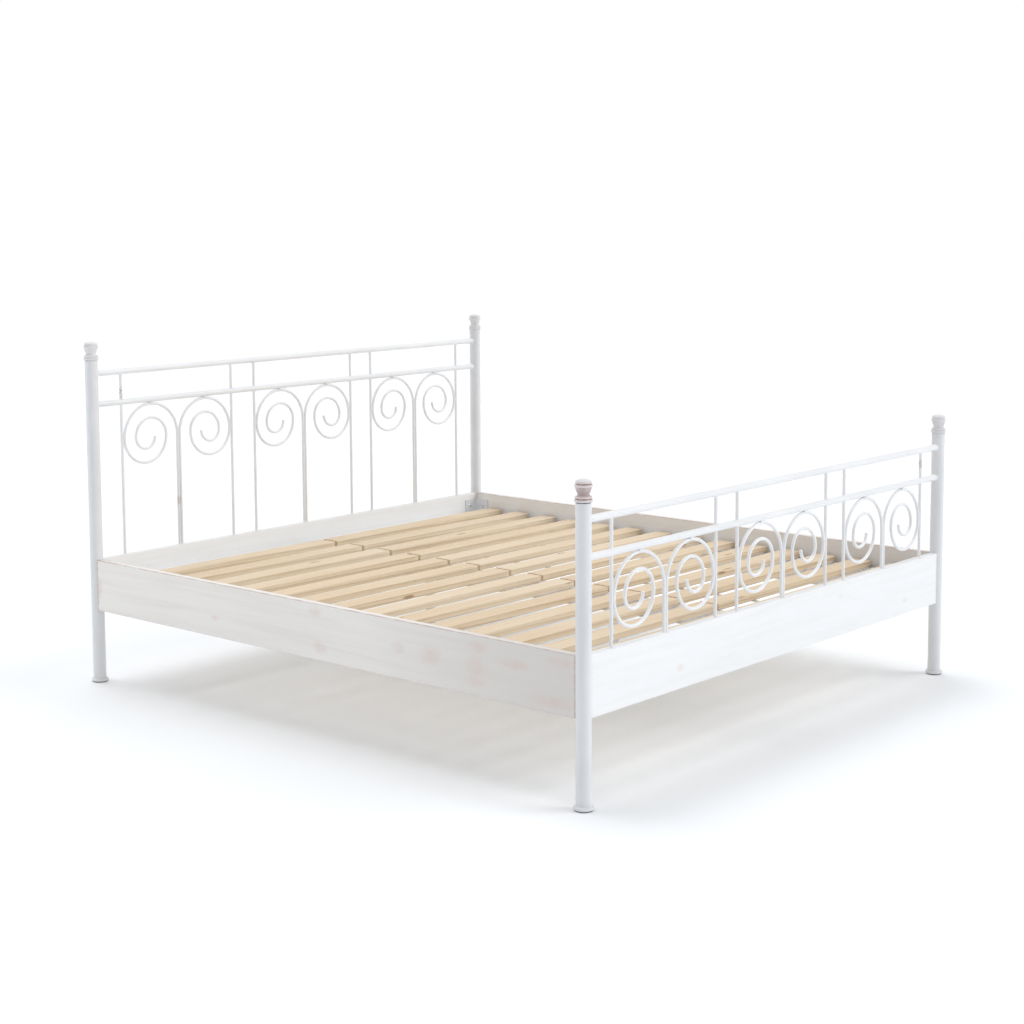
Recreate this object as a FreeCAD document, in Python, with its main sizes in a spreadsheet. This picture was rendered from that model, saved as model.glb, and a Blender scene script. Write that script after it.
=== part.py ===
"""Double bed frame with steel ends and wooden boards.

Frame: millimetres, +Z up, origin on the floor at the centre of the bed.
+Y points to the head end and -Y to the foot end. Left is -X, as seen from the foot end.
"""
import FreeCAD, Part

import math
import os

import Sketcher

Vector = FreeCAD.Vector
Rotation = FreeCAD.Rotation
Placement = FreeCAD.Placement

# ---------------------------------------------------------------- driving dimensions

DIMENSIONS = {
    # plan
    "bed_width": 1850,             # between post axes, across
    "bed_length": 2050,            # between post axes, head to foot
    # posts, their feet and finials
    "post_radius": 21,
    "post_wall": 2,
    "head_post_top": 1060,
    "foot_post_top": 804,
    "felt_radius": 25,
    "felt_thickness": 3,
    "disc_radius": 27.5,
    "disc_thickness": 8,
    "disc_rim_round": 2.5,
    "foot_neck_radius": 22,
    "foot_neck_rise": 4,
    "spigot_radius": 18.9,
    "spigot_length": 22,
    "finial_size": 1,              # scale of the turned outline, 62 mm tall at 1
    # rails
    "rail_radius": 10,
    "rail_wall": 1.5,
    "head_upper_rail": 1017,
    "head_lower_rail": 916,
    "foot_upper_rail": 759,
    "foot_lower_rail": 660,
    # scroll panels
    "panel_spacing": 575,
    "rod_radius": 5,
    "rod_hole_radius": 5.1,
    "scroll_radius": 110,
    "scroll_step": 23.5,
    "weld_gap": 0.1,
    # boards
    "board_top": 408,
    "board_depth": 167,
    "board_thickness": 24,
    "board_edge_round": 1.5,
    "board_scribe_radius": 21.2,
    "sill_width": 16,
    "sill_thickness": 5,
    # corner brackets, bolts and inserts
    "bracket_thickness": 4,
    "bracket_reach": 76,
    "bracket_depth": 120,
    "bolt_reach": 55,              # from the post axis
    "bolt_rise": 35,               # above and below the middle of the board
    "bolt_radius": 3.95,
    "bolt_clearance_radius": 4.5,
    "bolt_grip": 14,               # thread inside the insert
    "bolt_flange_radius": 9,
    "bolt_flange_thickness": 1.5,
    "bolt_button_radius": 6.6,
    "bolt_button_rise": 3.6,
    "bolt_button_arc": 9,
    "bolt_socket_width": 5,
    "bolt_socket_depth": 2.4,
    "insert_radius": 6,
    "insert_bore_radius": 4,
    "insert_length": 16,
    # slats, ledgers and webbing
    "slat_top": 355,
    "slat_thickness": 20,
    "slat_width": 70,
    "slat_length": 895,
    "slat_inner_end": 6,           # from the bed's centre line
    "slat_edge_round": 2,
    "slat_run": 1800,              # from the first slat's middle to the last one's
    "webbing_width": 22,
    "webbing_thickness": 1.2,
    "webbing_inset": 190,          # from each end of a slat
    "ledger_length": 1880,
    "ledger_leg": 30,
    "ledger_thickness": 3,
    "ledger_screw_drop": 17,       # below the ledger's top
    "ledger_screw_pitch": 300,
    # wood screws
    "screw_radius": 2.2,
    "screw_hole_radius": 2.5,
    "screw_pilot_radius": 2.25,
    "screw_length": 18,
    "screw_head_radius": 4.5,
    "screw_head_rise": 2.5,
    # centre beam and its saddles
    "beam_width": 40,
    "beam_depth": 50,
    "beam_wall": 2,
    "beam_end_gap": 2,
    "saddle_thickness": 3,
    "saddle_side_gap": 0.2,
    "saddle_length": 40,
    "saddle_plate_width": 100,
    "saddle_screw_reach": 36,
    "saddle_screw_rise": 13,
    "beam_bolt_radius": 3,
    "beam_bolt_hole_radius": 3.2,
    "beam_bolt_head_radius": 5.8,  # across the corners
    "beam_bolt_head_rise": 4,
    "beam_nut_rise": 5,
    "beam_bolt_spare": 2,          # thread beyond the nut
    # centre legs and levelling feet
    "leg_position": 400,           # along the bed, each way from the middle
    "leg_radius": 16,
    "leg_wall": 2,
    "leg_bottom": 40,
    "leg_plate_width": 36,
    "leg_plate_length": 76,
    "leg_plate_thickness": 4,
    "leg_screw_reach": 27,
    "leg_screw_length": 14,
    "plug_flange_thickness": 3,
    "plug_body_radius": 13.9,
    "plug_body_length": 26,
    "plug_bore_radius": 5.05,
    "spindle_radius": 5,
    "spindle_bottom": 4,
    "spindle_top": 78,
    "spindle_collar_radius": 9.8,  # across the corners
    "spindle_collar_bottom": 10.3,
    "spindle_collar_rise": 6,
    "pad_radius": 20,
    "pad_rise": 10,
    "pad_chamfer": 3,
}
SLATS_PER_ROLL = 14
LEDGER_SCREWS = 6
SCROLL_TURNS = 4                   # half turns in one scroll
LEFT = -1
RIGHT = 1
FOOT = -1
HEAD = 1
SIDES = {LEFT: "left", RIGHT: "right"}
PANELS = {-1: "left", 0: "middle", 1: "right"}


doc = FreeCAD.newDocument("BedFrame")
sheet = doc.addObject("Spreadsheet::Sheet", "Dimensions")
for row, (alias, number) in enumerate(DIMENSIONS.items(), start=1):
    sheet.set(f"A{row}", alias)
    sheet.set(f"B{row}", str(number))
    sheet.setAlias(f"B{row}", alias)
doc.recompute()

nodes = []                         # the exported sub-parts, one STEP file each


def cells(expression):
    """Expression with each alias written as a cell of the sheet."""
    words = []
    word = ""
    for letter in expression + " ":
        if letter.isalnum() or letter == "_" or (letter == "." and word[:1].isdigit()):
            word += letter
            continue
        words.append(f"Dimensions.{word}" if word in DIMENSIONS else word)
        words.append(letter)
        word = ""
    return "".join(words).strip()


def value(expression):
    """Number that an expression over the aliases gives."""
    return float(sheet.evalExpression(cells(expression)))


def bind(thing, **properties):
    """Set properties from expressions over the sheet's aliases."""
    for name, expression in properties.items():
        thing.setExpression(name.replace("__", "."), cells(expression))


def put(thing, across="0", along="0", up="0", turn=0.0, tilt=None):
    """Place an object: turn is about +Z in degrees, tilt an optional rotation made first."""
    rotation = Rotation(Vector(0, 0, 1), turn)
    if tilt is not None:
        rotation = rotation.multiply(tilt)
    thing.Placement = Placement(Vector(0, 0, 0), rotation)
    bind(thing, Placement__Base__x=across, Placement__Base__y=along, Placement__Base__z=up)
    return thing


def node(thing, label):
    """Mark an object as a sub-part that gets its own file."""
    thing.Label = label
    nodes.append(thing)
    return thing


# ---------------------------------------------------------------- sketch and feature helpers

def new_body(name):
    return doc.addObject("PartDesign::Body", name)


def new_sketch(body, role, name, offset="0"):
    """Sketch on one of the body's own origin planes, moved along the plane's normal by offset."""
    plane = next(item for item in body.Origin.OriginFeatures if item.Role == role)
    sketch = body.newObject("Sketcher::SketchObject", name)
    sketch.AttachmentSupport = [(plane, "")]
    sketch.MapMode = "FlatFace"
    bind(sketch, AttachmentOffset__Base__z=offset)
    return sketch


def dimension(sketch, kind, *where, size):
    index = sketch.addConstraint(Sketcher.Constraint(kind, *where, value(size)))
    sketch.setExpression(f"Constraints[{index}]", cells(size))


def pin(sketch, curve, point, across, up):
    """Fix one point of a sketch curve by its two distances from the sketch's origin."""
    dimension(sketch, "DistanceX", -1, 1, curve, point, size=across)
    dimension(sketch, "DistanceY", -1, 1, curve, point, size=up)


def add_circle(sketch, radius, across="0", up="0"):
    centre = Vector(value(across), value(up), 0)
    curve = sketch.addGeometry(Part.Circle(centre, Vector(0, 0, 1), value(radius)), False)
    dimension(sketch, "Radius", curve, size=radius)
    pin(sketch, curve, 3, across, up)


def add_outline(sketch, steps):
    """Closed outline through a list of corners, given as pairs of expressions.

    A third entry makes the stretch that ends at that corner an arc of this radius. The arc bulges to
    the right of the way it runs, or to the left when the radius is negative.
    """
    points = [Vector(value(step[0]), value(step[1]), 0) for step in steps]
    stretches = []
    for i, step in enumerate(steps):
        here = points[i - 1]
        there = points[i]
        if len(step) == 2:
            curve = sketch.addGeometry(Part.LineSegment(here, there), False)
            stretches.append((curve, 1, 2))
            continue
        radius = abs(value(step[2]))
        chord = there - here
        away = math.sqrt(radius ** 2 - (chord.Length / 2) ** 2)
        rightward = Vector(chord.y, -chord.x, 0).normalize()
        forward = value(step[2]) > 0
        centre = (here + there) / 2 - rightward * (away if forward else -away)
        angles = [math.atan2(point.y - centre.y, point.x - centre.x) for point in (here, there)]
        if not forward:
            angles.reverse()
        circle = Part.Circle(centre, Vector(0, 0, 1), radius)
        curve = sketch.addGeometry(Part.ArcOfCircle(circle, *angles), False)
        stretches.append((curve, 1, 2) if forward else (curve, 2, 1))
        dimension(sketch, "Radius", curve, size=f"abs({step[2]})")
    for i, (curve, _, last) in enumerate(stretches):
        following, first, _ = stretches[(i + 1) % len(stretches)]
        sketch.addConstraint(Sketcher.Constraint("Coincident", curve, last, following, first))
        pin(sketch, curve, last, *steps[i][:2])


def add_rectangle(sketch, low_across, low_up, high_across, high_up):
    add_outline(sketch, [(low_across, low_up), (high_across, low_up),
                         (high_across, high_up), (low_across, high_up)])


def add_hexagon(sketch, width):
    """Regular hexagon about the origin, this wide across its flats, with corners on the horizontal axis."""
    corner_radius = f"{width} / {2 * math.cos(math.radians(30))}"
    corners = []
    for i in range(6):
        cosine = round(math.cos(math.radians(60 * i)), 9)
        sine = round(math.sin(math.radians(60 * i)), 9)
        corners.append((f"{corner_radius} * {cosine}", f"{corner_radius} * {sine}"))
    add_outline(sketch, corners)


def pad(body, sketch, length, symmetric=False, reverse=False):
    feature = body.newObject("PartDesign::Pad", sketch.Name + "Pad")
    feature.Profile = sketch
    if symmetric:
        feature.SideType = "Symmetric"
    feature.Reversed = reverse
    bind(feature, Length=length)
    return feature


def pocket(body, sketch, length, symmetric=False, reverse=False):
    """Cut the sketch out of the body. It goes against the sketch's normal unless reversed."""
    doc.recompute()
    before = body.Shape.Volume
    feature = body.newObject("PartDesign::Pocket", sketch.Name + "Pocket")
    feature.Profile = sketch
    if symmetric:
        feature.SideType = "Symmetric"
    feature.Reversed = reverse
    bind(feature, Length=length)
    doc.recompute()
    if body.Shape.Volume >= before:
        raise RuntimeError(f"{feature.Name} cut nothing")
    return feature


def through(thickness):
    """Depth of a symmetric cut that passes right through a piece this thick."""
    return f"4 * ({thickness})"


def round_edges(body, base, radius, wanted):
    """Fillet the edges of base for which wanted(edge) is true."""
    doc.recompute()
    names = [f"Edge{i}" for i, edge in enumerate(base.Shape.Edges, start=1) if wanted(edge)]
    feature = body.newObject("PartDesign::Fillet", base.Name + "Fillet")
    feature.Base = (base, names)
    bind(feature, Radius=radius)
    return feature


def revolve(body, sketch):
    """Turn a sketch on the XZ plane about the body's vertical axis."""
    feature = body.newObject("PartDesign::Revolution", sketch.Name + "Turned")
    feature.Profile = sketch
    feature.ReferenceAxis = (sketch, ["V_Axis"])
    feature.Angle = 360
    return feature


def is_along(edge, direction):
    if not isinstance(edge.Curve, Part.Line):
        return False
    return abs(edge.Curve.Direction.dot(direction)) > 0.999


def cope_ends(body, axis_distance, radius, depth):
    """Hollow both ends of a member to fit round the posts that it runs between."""
    sketch = new_sketch(body, "XY_Plane", body.Name + "Cope")
    for side in ("-", "+"):
        add_circle(sketch, radius, across=f"{side} {axis_distance} / 2")
    return pocket(body, sketch, depth, symmetric=True)


def group(label, members):
    """One node of separate solids. members pairs a master with the arguments that place it."""
    links = []
    for i, (master, place) in enumerate(members, start=1):
        link = doc.addObject("App::Link", f"{label}_{i}")
        link.LinkedObject = master
        links.append(put(link, **place))
    compound = doc.addObject("Part::Compound", label)
    compound.Links = links
    return node(compound, label)


# ---------------------------------------------------------------- posts

BED_CORNERS = [
    (end, side, f"{side} * bed_width / 2", f"{end} * bed_length / 2")
    for end in (FOOT, HEAD) for side in (LEFT, RIGHT)
]
END_NAMES = {FOOT: "foot", HEAD: "head"}
POST_BOTTOM = "(felt_thickness + disc_thickness + foot_neck_rise)"


def make_post(label, top):
    body = new_body(label)
    section = new_sketch(body, "XY_Plane", label + "_section")
    add_circle(section, "post_radius")
    add_circle(section, "post_radius - post_wall")
    pad(body, section, f"{top} - {POST_BOTTOM}")
    return node(body, label)


# Half outline of a post's foot: radius, height and the radius of an arc. A hollow curve as wide as the
# ledge on the disc leads up to the neck.
FOOT_LEDGE = "(disc_radius - disc_rim_round - foot_neck_radius)"
FOOT_OUTLINE = [
    ("0", "0"),
    ("disc_radius - disc_rim_round", "0"),
    ("disc_radius", "disc_rim_round", "disc_rim_round"),
    ("disc_radius", "disc_thickness - disc_rim_round"),
    ("disc_radius - disc_rim_round", "disc_thickness", "disc_rim_round"),
    ("foot_neck_radius", f"disc_thickness + {FOOT_LEDGE}", f"- {FOOT_LEDGE}"),
    ("foot_neck_radius", "disc_thickness + foot_neck_rise"),
    ("spigot_radius", "disc_thickness + foot_neck_rise"),
    ("spigot_radius", "disc_thickness + foot_neck_rise + spigot_length"),
    ("0", "disc_thickness + foot_neck_rise + spigot_length"),
]


def make_post_foot(label):
    """Turned steel foot: a disc that flows into a neck under the tube, and a spigot inside it."""
    body = new_body(label)
    outline = new_sketch(body, "XZ_Plane", label + "_outline")
    add_outline(outline, FOOT_OUTLINE)
    revolve(body, outline)
    return node(body, label)


# Half outline of a finial, from the tube's top upwards: radius, height and the radius of an arc.
FINIAL_OUTLINE = [
    (19.6, 0.0), (19.6, 2.0), (23.0, 2.6),
    (23.0, 9.0, 4.0),                                   # base ring
    (21.2, 9.6), (21.2, 11.4), (22.0, 12.0),
    (19.6, 17.8, 3.6),                                  # bead
    (17.0, 26.0, -5.2),                                 # waist
    (21.4, 41.6, 38.0), (22.8, 41.6),
    (22.8, 47.2, 3.5),                                  # cap ring
    (20.8, 48.0), (20.8, 49.6), (21.6, 50.2),
    (19.0, 57.6, 6.0), (2.0, 62.0, 36.0), (0.0, 62.0),  # dome
]


def make_finial(label):
    """Turned wooden finial: base ring, bead, waist, cap ring and low dome, with a spigot in the tube."""
    body = new_body(label)
    outline = new_sketch(body, "XZ_Plane", label + "_outline")
    steps = [("0", "- spigot_length"), ("spigot_radius", "- spigot_length"), ("spigot_radius", "0")]
    for corner in FINIAL_OUTLINE:
        steps.append(tuple(f"{number} * finial_size" for number in corner))
    add_outline(outline, steps)
    revolve(body, outline)
    return node(body, label)


for end, side, across, along in BED_CORNERS:
    name = f"{END_NAMES[end]}_{SIDES[side]}"
    post_top = f"{END_NAMES[end]}_post_top"
    put(make_post(name + "_post", post_top), across, along, POST_BOTTOM)
    put(make_post_foot(name + "_post_foot"), across, along, "felt_thickness")
    put(make_finial(name + "_finial"), across, along, post_top)

felt = doc.addObject("Part::Cylinder", "FeltPad")
bind(felt, Radius="felt_radius", Height="felt_thickness")
group("felt_pads", [(felt, {"across": across, "along": along}) for _, _, across, along in BED_CORNERS])

# ---------------------------------------------------------------- rails

PANEL_CENTRES = {key: f"{key} * panel_spacing" for key in PANELS}
STEM_REACH = "(rod_radius + weld_gap / 2)"
ROD_REACH = f"({STEM_REACH} + 2 * scroll_radius + 2 * rod_radius + weld_gap)"
ROD_PLACES = [
    (key, f"{centre} {sign} {ROD_REACH}") for key, centre in PANEL_CENTRES.items() for sign in ("-", "+")
]


def make_rail(label, both_walls):
    """Tube between two posts. The rods pass through a lower rail, and end inside an upper one."""
    body = new_body(label)
    section = new_sketch(body, "YZ_Plane", label + "_section")
    add_circle(section, "rail_radius")
    add_circle(section, "rail_radius - rail_wall")
    pad(body, section, "bed_width", symmetric=True)
    cope_ends(body, "bed_width", "post_radius", through("rail_radius"))
    holes = new_sketch(body, "XY_Plane", label + "_rod_holes")
    for _, across in ROD_PLACES:
        add_circle(holes, "rod_hole_radius", across=across)
    pocket(body, holes, through("rail_radius") if both_walls else "2 * rail_radius", symmetric=both_walls)
    return node(body, label)


for end, end_name in END_NAMES.items():
    end_line = f"{end} * bed_length / 2"
    for level in ("upper", "lower"):
        name = f"{end_name}_{level}_rail"
        put(make_rail(name, both_walls=level == "lower"), along=end_line, up=name)

# ---------------------------------------------------------------- rods and scrolls


def make_scroll(label, end_name):
    """Round bar bent into a stem and a flat spiral of half turns, the stem's foot at the origin.

    The centres of the half turns alternate between two points on one level, so that each half turn
    is tangent to the next. The panel's centre line is the body's own vertical axis.
    """
    level = f"({end_name}_lower_rail - rail_radius - weld_gap - rod_radius - scroll_radius - board_top)"
    body = new_body(label)
    path = new_sketch(body, "XZ_Plane", label + "_path")
    reaches = [STEM_REACH]
    for turn in range(SCROLL_TURNS):
        sign = "+" if turn % 2 == 0 else "-"
        reaches.append(f"{reaches[-1]} {sign} 2 * (scroll_radius - {turn} * scroll_step)")
    here = Vector(value(STEM_REACH), 0, 0)
    there = Vector(value(STEM_REACH), value(level), 0)
    curve = path.addGeometry(Part.LineSegment(here, there), False)
    pin(path, curve, 1, STEM_REACH, "0")
    pin(path, curve, 2, STEM_REACH, level)
    end_point = 2
    for turn in range(SCROLL_TURNS):
        first = value(reaches[turn])
        last = value(reaches[turn + 1])
        centre = Vector((first + last) / 2, value(level), 0)
        circle = Part.Circle(centre, Vector(0, 0, 1), abs(last - first) / 2)
        start_angle = 0 if turn % 2 == 0 else math.pi
        arc = path.addGeometry(Part.ArcOfCircle(circle, start_angle, start_angle + math.pi), False)
        path.addConstraint(Sketcher.Constraint("Coincident", curve, end_point, arc, 2))
        pin(path, arc, 1, reaches[turn + 1], level)
        dimension(path, "DistanceY", -1, 1, arc, 3, size=level)
        curve = arc
        end_point = 1
    section = new_sketch(body, "XY_Plane", label + "_section")
    add_circle(section, "rod_radius", across=STEM_REACH)
    doc.recompute()
    bar = body.newObject("PartDesign::AdditivePipe", label + "_bar")
    bar.Profile = section
    bar.Spine = (path, [f"Edge{i}" for i in range(1, SCROLL_TURNS + 2)])
    return node(body, label)


def make_rod_blank(end_name):
    """Upright rod, from the sill bar to the middle of the upper rail."""
    blank = doc.addObject("Part::Cylinder", f"{end_name}_rod_blank")
    bind(blank, Radius="rod_radius", Height=f"{end_name}_upper_rail - board_top")
    return blank


for end, end_name in END_NAMES.items():
    end_line = f"{end} * bed_length / 2"
    rod_blank = make_rod_blank(end_name)
    for key, panel in PANELS.items():
        places = [across for owner, across in ROD_PLACES if owner == key]
        group(f"{end_name}_{panel}_panel_rods", [
            (rod_blank, {"across": across, "along": end_line, "up": "board_top"}) for across in places
        ])
        for side, side_name in SIDES.items():
            scroll = make_scroll(f"{end_name}_{panel}_panel_{side_name}_scroll", end_name)
            put(scroll, PANEL_CENTRES[key], end_line, "board_top", turn=0 if side == RIGHT else 180)

# ---------------------------------------------------------------- boards and sill bars

INSERT_PLACES = [
    (f"{way} (LENGTH / 2 - bolt_reach)", f"board_depth / 2 {rise} bolt_rise")
    for way in ("-", "+") for rise in ("-", "+")
]


def make_board(label, length, pilots, sill):
    """Board between two posts, lying along the body's Y axis with its inner face towards +X.

    pilots are the wood screws' places on the inner face. An end board has a groove for its sill bar.
    """
    body = new_body(label)
    face = new_sketch(body, "YZ_Plane", label + "_face")
    add_rectangle(face, f"- {length} / 2", "0", f"{length} / 2", "board_depth")
    blank = pad(body, face, "board_thickness", symmetric=True)
    round_edges(body, blank, "board_edge_round", lambda edge: is_along(edge, Vector(0, 1, 0)))
    scribe = new_sketch(body, "XY_Plane", label + "_scribe")
    for way in ("-", "+"):
        add_circle(scribe, "board_scribe_radius", up=f"{way} {length} / 2")
    pocket(body, scribe, "board_depth", reverse=True)
    inserts = new_sketch(body, "YZ_Plane", label + "_insert_holes", offset="board_thickness / 2")
    for along, up in INSERT_PLACES:
        add_circle(inserts, "insert_radius + weld_gap / 2", across=along.replace("LENGTH", length), up=up)
    pocket(body, inserts, "insert_length")
    if pilots:
        holes = new_sketch(body, "YZ_Plane", label + "_pilot_holes", offset="board_thickness / 2")
        for along, up in pilots:
            add_circle(holes, "screw_pilot_radius", across=along, up=up)
        pocket(body, holes, "screw_length")
    if sill:
        groove = new_sketch(body, "XY_Plane", label + "_groove", offset="board_depth")
        add_rectangle(groove, "- sill_width / 2", f"- {length} / 2", "sill_width / 2", f"{length} / 2")
        pocket(body, groove, "sill_thickness")
    return node(body, label)


def make_sill(label):
    """Flat bar let into an end board's top edge, from post to post."""
    body = new_body(label)
    outline = new_sketch(body, "XY_Plane", label + "_outline")
    add_rectangle(outline, "- bed_width / 2", "- sill_width / 2", "bed_width / 2", "sill_width / 2")
    pad(body, outline, "sill_thickness")
    cope_ends(body, "bed_width", "post_radius", through("sill_thickness"))
    return node(body, label)


BOARD_BOTTOM = "(board_top - board_depth)"
LEDGER_SCREW_PLACES = [
    f"{i - (LEDGER_SCREWS - 1) / 2} * ledger_screw_pitch" for i in range(LEDGER_SCREWS)
]
LEDGER_SCREW_LEVEL = "(slat_top - slat_thickness - ledger_screw_drop)"
SADDLE_SCREW_PLACES = [(across, rise) for across in ("-", "+") for rise in ("-", "+")]
BEAM_LEVEL = "(slat_top - slat_thickness - beam_depth / 2)"

side_pilots = [(along, f"{LEDGER_SCREW_LEVEL} - {BOARD_BOTTOM}") for along in LEDGER_SCREW_PLACES]
end_pilots = [
    (f"{across} saddle_screw_reach", f"{BEAM_LEVEL} {rise} saddle_screw_rise - {BOARD_BOTTOM}")
    for across, rise in SADDLE_SCREW_PLACES
]
for side, side_name in SIDES.items():
    board = make_board(f"{side_name}_side_board", "bed_length", side_pilots, sill=False)
    put(board, f"{side} * bed_width / 2", "0", BOARD_BOTTOM, turn=0 if side == LEFT else 180)
for end, end_name in END_NAMES.items():
    board = make_board(f"{end_name}_board", "bed_width", end_pilots, sill=True)
    put(board, "0", f"{end} * bed_length / 2", BOARD_BOTTOM, turn=-90 * end)
    put(make_sill(f"{end_name}_sill_bar"), "0", f"{end} * bed_length / 2", "board_top - sill_thickness")

# ---------------------------------------------------------------- corner brackets, bolts and inserts

BRACKET_FACE = "(board_thickness / 2)"
BRACKET_BACK = "(board_thickness / 2 + bracket_thickness)"


def make_corner_bracket():
    """Steel angle welded inside a post, each leg flat against a board's inner face."""
    body = new_body("corner_bracket_blank")
    outline = new_sketch(body, "XY_Plane", "bracket_outline")
    add_outline(outline, [
        (BRACKET_FACE, BRACKET_FACE), ("bracket_reach", BRACKET_FACE), ("bracket_reach", BRACKET_BACK),
        (BRACKET_BACK, BRACKET_BACK), (BRACKET_BACK, "bracket_reach"), (BRACKET_FACE, "bracket_reach"),
    ])
    pad(body, outline, "bracket_depth", symmetric=True)
    cope = new_sketch(body, "XY_Plane", "bracket_cope")
    add_circle(cope, "post_radius")
    pocket(body, cope, "bracket_depth", symmetric=True)
    for role, sign in (("XZ_Plane", "-"), ("YZ_Plane", "+")):
        holes = new_sketch(body, role, "bracket_holes_" + role[:2], offset=f"{sign} {BRACKET_BACK}")
        for rise in ("-", "+"):
            add_circle(holes, "bolt_clearance_radius", across="bolt_reach", up=f"{rise} bolt_rise")
        pocket(body, holes, through("bracket_thickness"), symmetric=True)
    return body


def make_flange_bolt():
    """Flanged button-head bolt. The flange's underside is at the origin and the shank points down."""
    body = new_body("flange_bolt_blank")
    outline = new_sketch(body, "XZ_Plane", "flange_bolt_outline")
    shank_end = "- (bracket_thickness + bolt_grip)"
    add_outline(outline, [
        ("0", shank_end), ("bolt_radius", shank_end), ("bolt_radius", "0"), ("bolt_flange_radius", "0"),
        ("bolt_flange_radius", "bolt_flange_thickness / 2"), ("bolt_button_radius", "bolt_flange_thickness"),
        ("0", "bolt_flange_thickness + bolt_button_rise", "bolt_button_arc"),
    ])
    revolve(body, outline)
    socket = new_sketch(body, "XY_Plane", "flange_bolt_socket",
                        offset="bolt_flange_thickness + bolt_button_rise")
    add_hexagon(socket, "bolt_socket_width")
    pocket(body, socket, "bolt_socket_depth")
    return body


def make_insert():
    """Threaded insert, its mouth at the origin and its body pointing down."""
    body = new_body("insert_blank")
    section = new_sketch(body, "XY_Plane", "insert_section")
    add_circle(section, "insert_radius")
    add_circle(section, "insert_bore_radius")
    pad(body, section, "insert_length", reverse=True)
    return body


bracket = make_corner_bracket()
bolt = make_flange_bolt()
insert = make_insert()
HEAD_TO = {                        # rotation that turns a fastener's head from +Z to this direction
    "+X": Rotation(Vector(0, 1, 0), 90),
    "-X": Rotation(Vector(0, 1, 0), -90),
    "+Y": Rotation(Vector(1, 0, 0), -90),
    "-Y": Rotation(Vector(1, 0, 0), 90),
    "-Z": Rotation(Vector(1, 0, 0), 180),
}
BOARD_MIDDLE = f"({BOARD_BOTTOM} + board_depth / 2)"
bracket_places = []
bolt_places = []
insert_places = []
for end, side, across, along in BED_CORNERS:
    quarter_turns = {(FOOT, LEFT): 0, (FOOT, RIGHT): 1, (HEAD, RIGHT): 2, (HEAD, LEFT): 3}[end, side]
    bracket_places.append((bracket, {
        "across": across, "along": along, "up": BOARD_MIDDLE, "turn": 90 * quarter_turns,
    }))
    inward_across = "+" if side == LEFT else "-"
    inward_along = "+" if end == FOOT else "-"
    for rise in ("-", "+"):
        level = f"{BOARD_MIDDLE} {rise} bolt_rise"
        for fastener, places, depth in (
            (bolt, bolt_places, BRACKET_BACK), (insert, insert_places, BRACKET_FACE),
        ):
            places.append((fastener, {
                "across": f"{across} {inward_across} {depth}",
                "along": f"{along} {inward_along} bolt_reach",
                "up": level, "tilt": HEAD_TO[inward_across + "X"],
            }))
            places.append((fastener, {
                "across": f"{across} {inward_across} bolt_reach",
                "along": f"{along} {inward_along} {depth}",
                "up": level, "tilt": HEAD_TO[inward_along + "Y"],
            }))
group("corner_brackets", bracket_places)
group("board_bolts", bolt_places)
group("board_inserts", insert_places)

# ---------------------------------------------------------------- ledgers and wood screws

SIDE_FACE = "(bed_width / 2 - board_thickness / 2)"
END_FACE = "(bed_length / 2 - board_thickness / 2)"


def make_ledger(label):
    """Steel angle along a side board. Its corner is at the origin, one leg out to +X, one leg down."""
    body = new_body(label)
    section = new_sketch(body, "XZ_Plane", label + "_section")
    add_outline(section, [
        ("0", "0"), ("0", "- ledger_leg"), ("ledger_thickness", "- ledger_leg"),
        ("ledger_thickness", "- ledger_thickness"), ("ledger_leg", "- ledger_thickness"),
        ("ledger_leg", "0"),
    ])
    pad(body, section, "ledger_length", symmetric=True)
    holes = new_sketch(body, "YZ_Plane", label + "_screw_holes")
    for along in LEDGER_SCREW_PLACES:
        add_circle(holes, "screw_hole_radius", across=along, up="- ledger_screw_drop")
    pocket(body, holes, through("ledger_thickness"), symmetric=True)
    return node(body, label)


def make_wood_screw():
    """Pan-head screw, its head's underside at the origin and its shank pointing down."""
    shank = doc.addObject("Part::Cylinder", "wood_screw_shank")
    bind(shank, Radius="screw_radius", Height="screw_length")
    put(shank, up="- screw_length")
    head = doc.addObject("Part::Sphere", "wood_screw_dome")
    dome_radius = "((screw_head_radius ^ 2 + screw_head_rise ^ 2) / (2 * screw_head_rise))"
    bind(head, Radius=dome_radius)
    put(head, up=f"screw_head_rise - {dome_radius}")
    slab = doc.addObject("Part::Cylinder", "wood_screw_head_slab")
    bind(slab, Radius="2 * screw_head_radius", Height="2 * screw_head_rise")
    pan = doc.addObject("Part::MultiCommon", "wood_screw_head")
    pan.Shapes = [head, slab]
    screw = doc.addObject("Part::MultiFuse", "wood_screw_blank")
    screw.Shapes = [shank, pan]
    return screw


for side, side_name in SIDES.items():
    put(make_ledger(f"{side_name}_ledger"), f"{side} * {SIDE_FACE}", "0", "slat_top - slat_thickness",
        turn=0 if side == LEFT else 180)

wood_screw = make_wood_screw()
screw_places = []
for side in SIDES:
    for along in LEDGER_SCREW_PLACES:
        screw_places.append((wood_screw, {
            "across": f"{side} * ({SIDE_FACE} - ledger_thickness)", "along": along,
            "up": LEDGER_SCREW_LEVEL, "tilt": HEAD_TO["+X" if side == LEFT else "-X"],
        }))
for end in END_NAMES:
    for across, rise in SADDLE_SCREW_PLACES:
        screw_places.append((wood_screw, {
            "across": f"{across} saddle_screw_reach",
            "along": f"{end} * ({END_FACE} - saddle_thickness)",
            "up": f"{BEAM_LEVEL} {rise} saddle_screw_rise",
            "tilt": HEAD_TO["+Y" if end == FOOT else "-Y"],
        }))
group("wood_screws", screw_places)

# ---------------------------------------------------------------- centre beam

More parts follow.
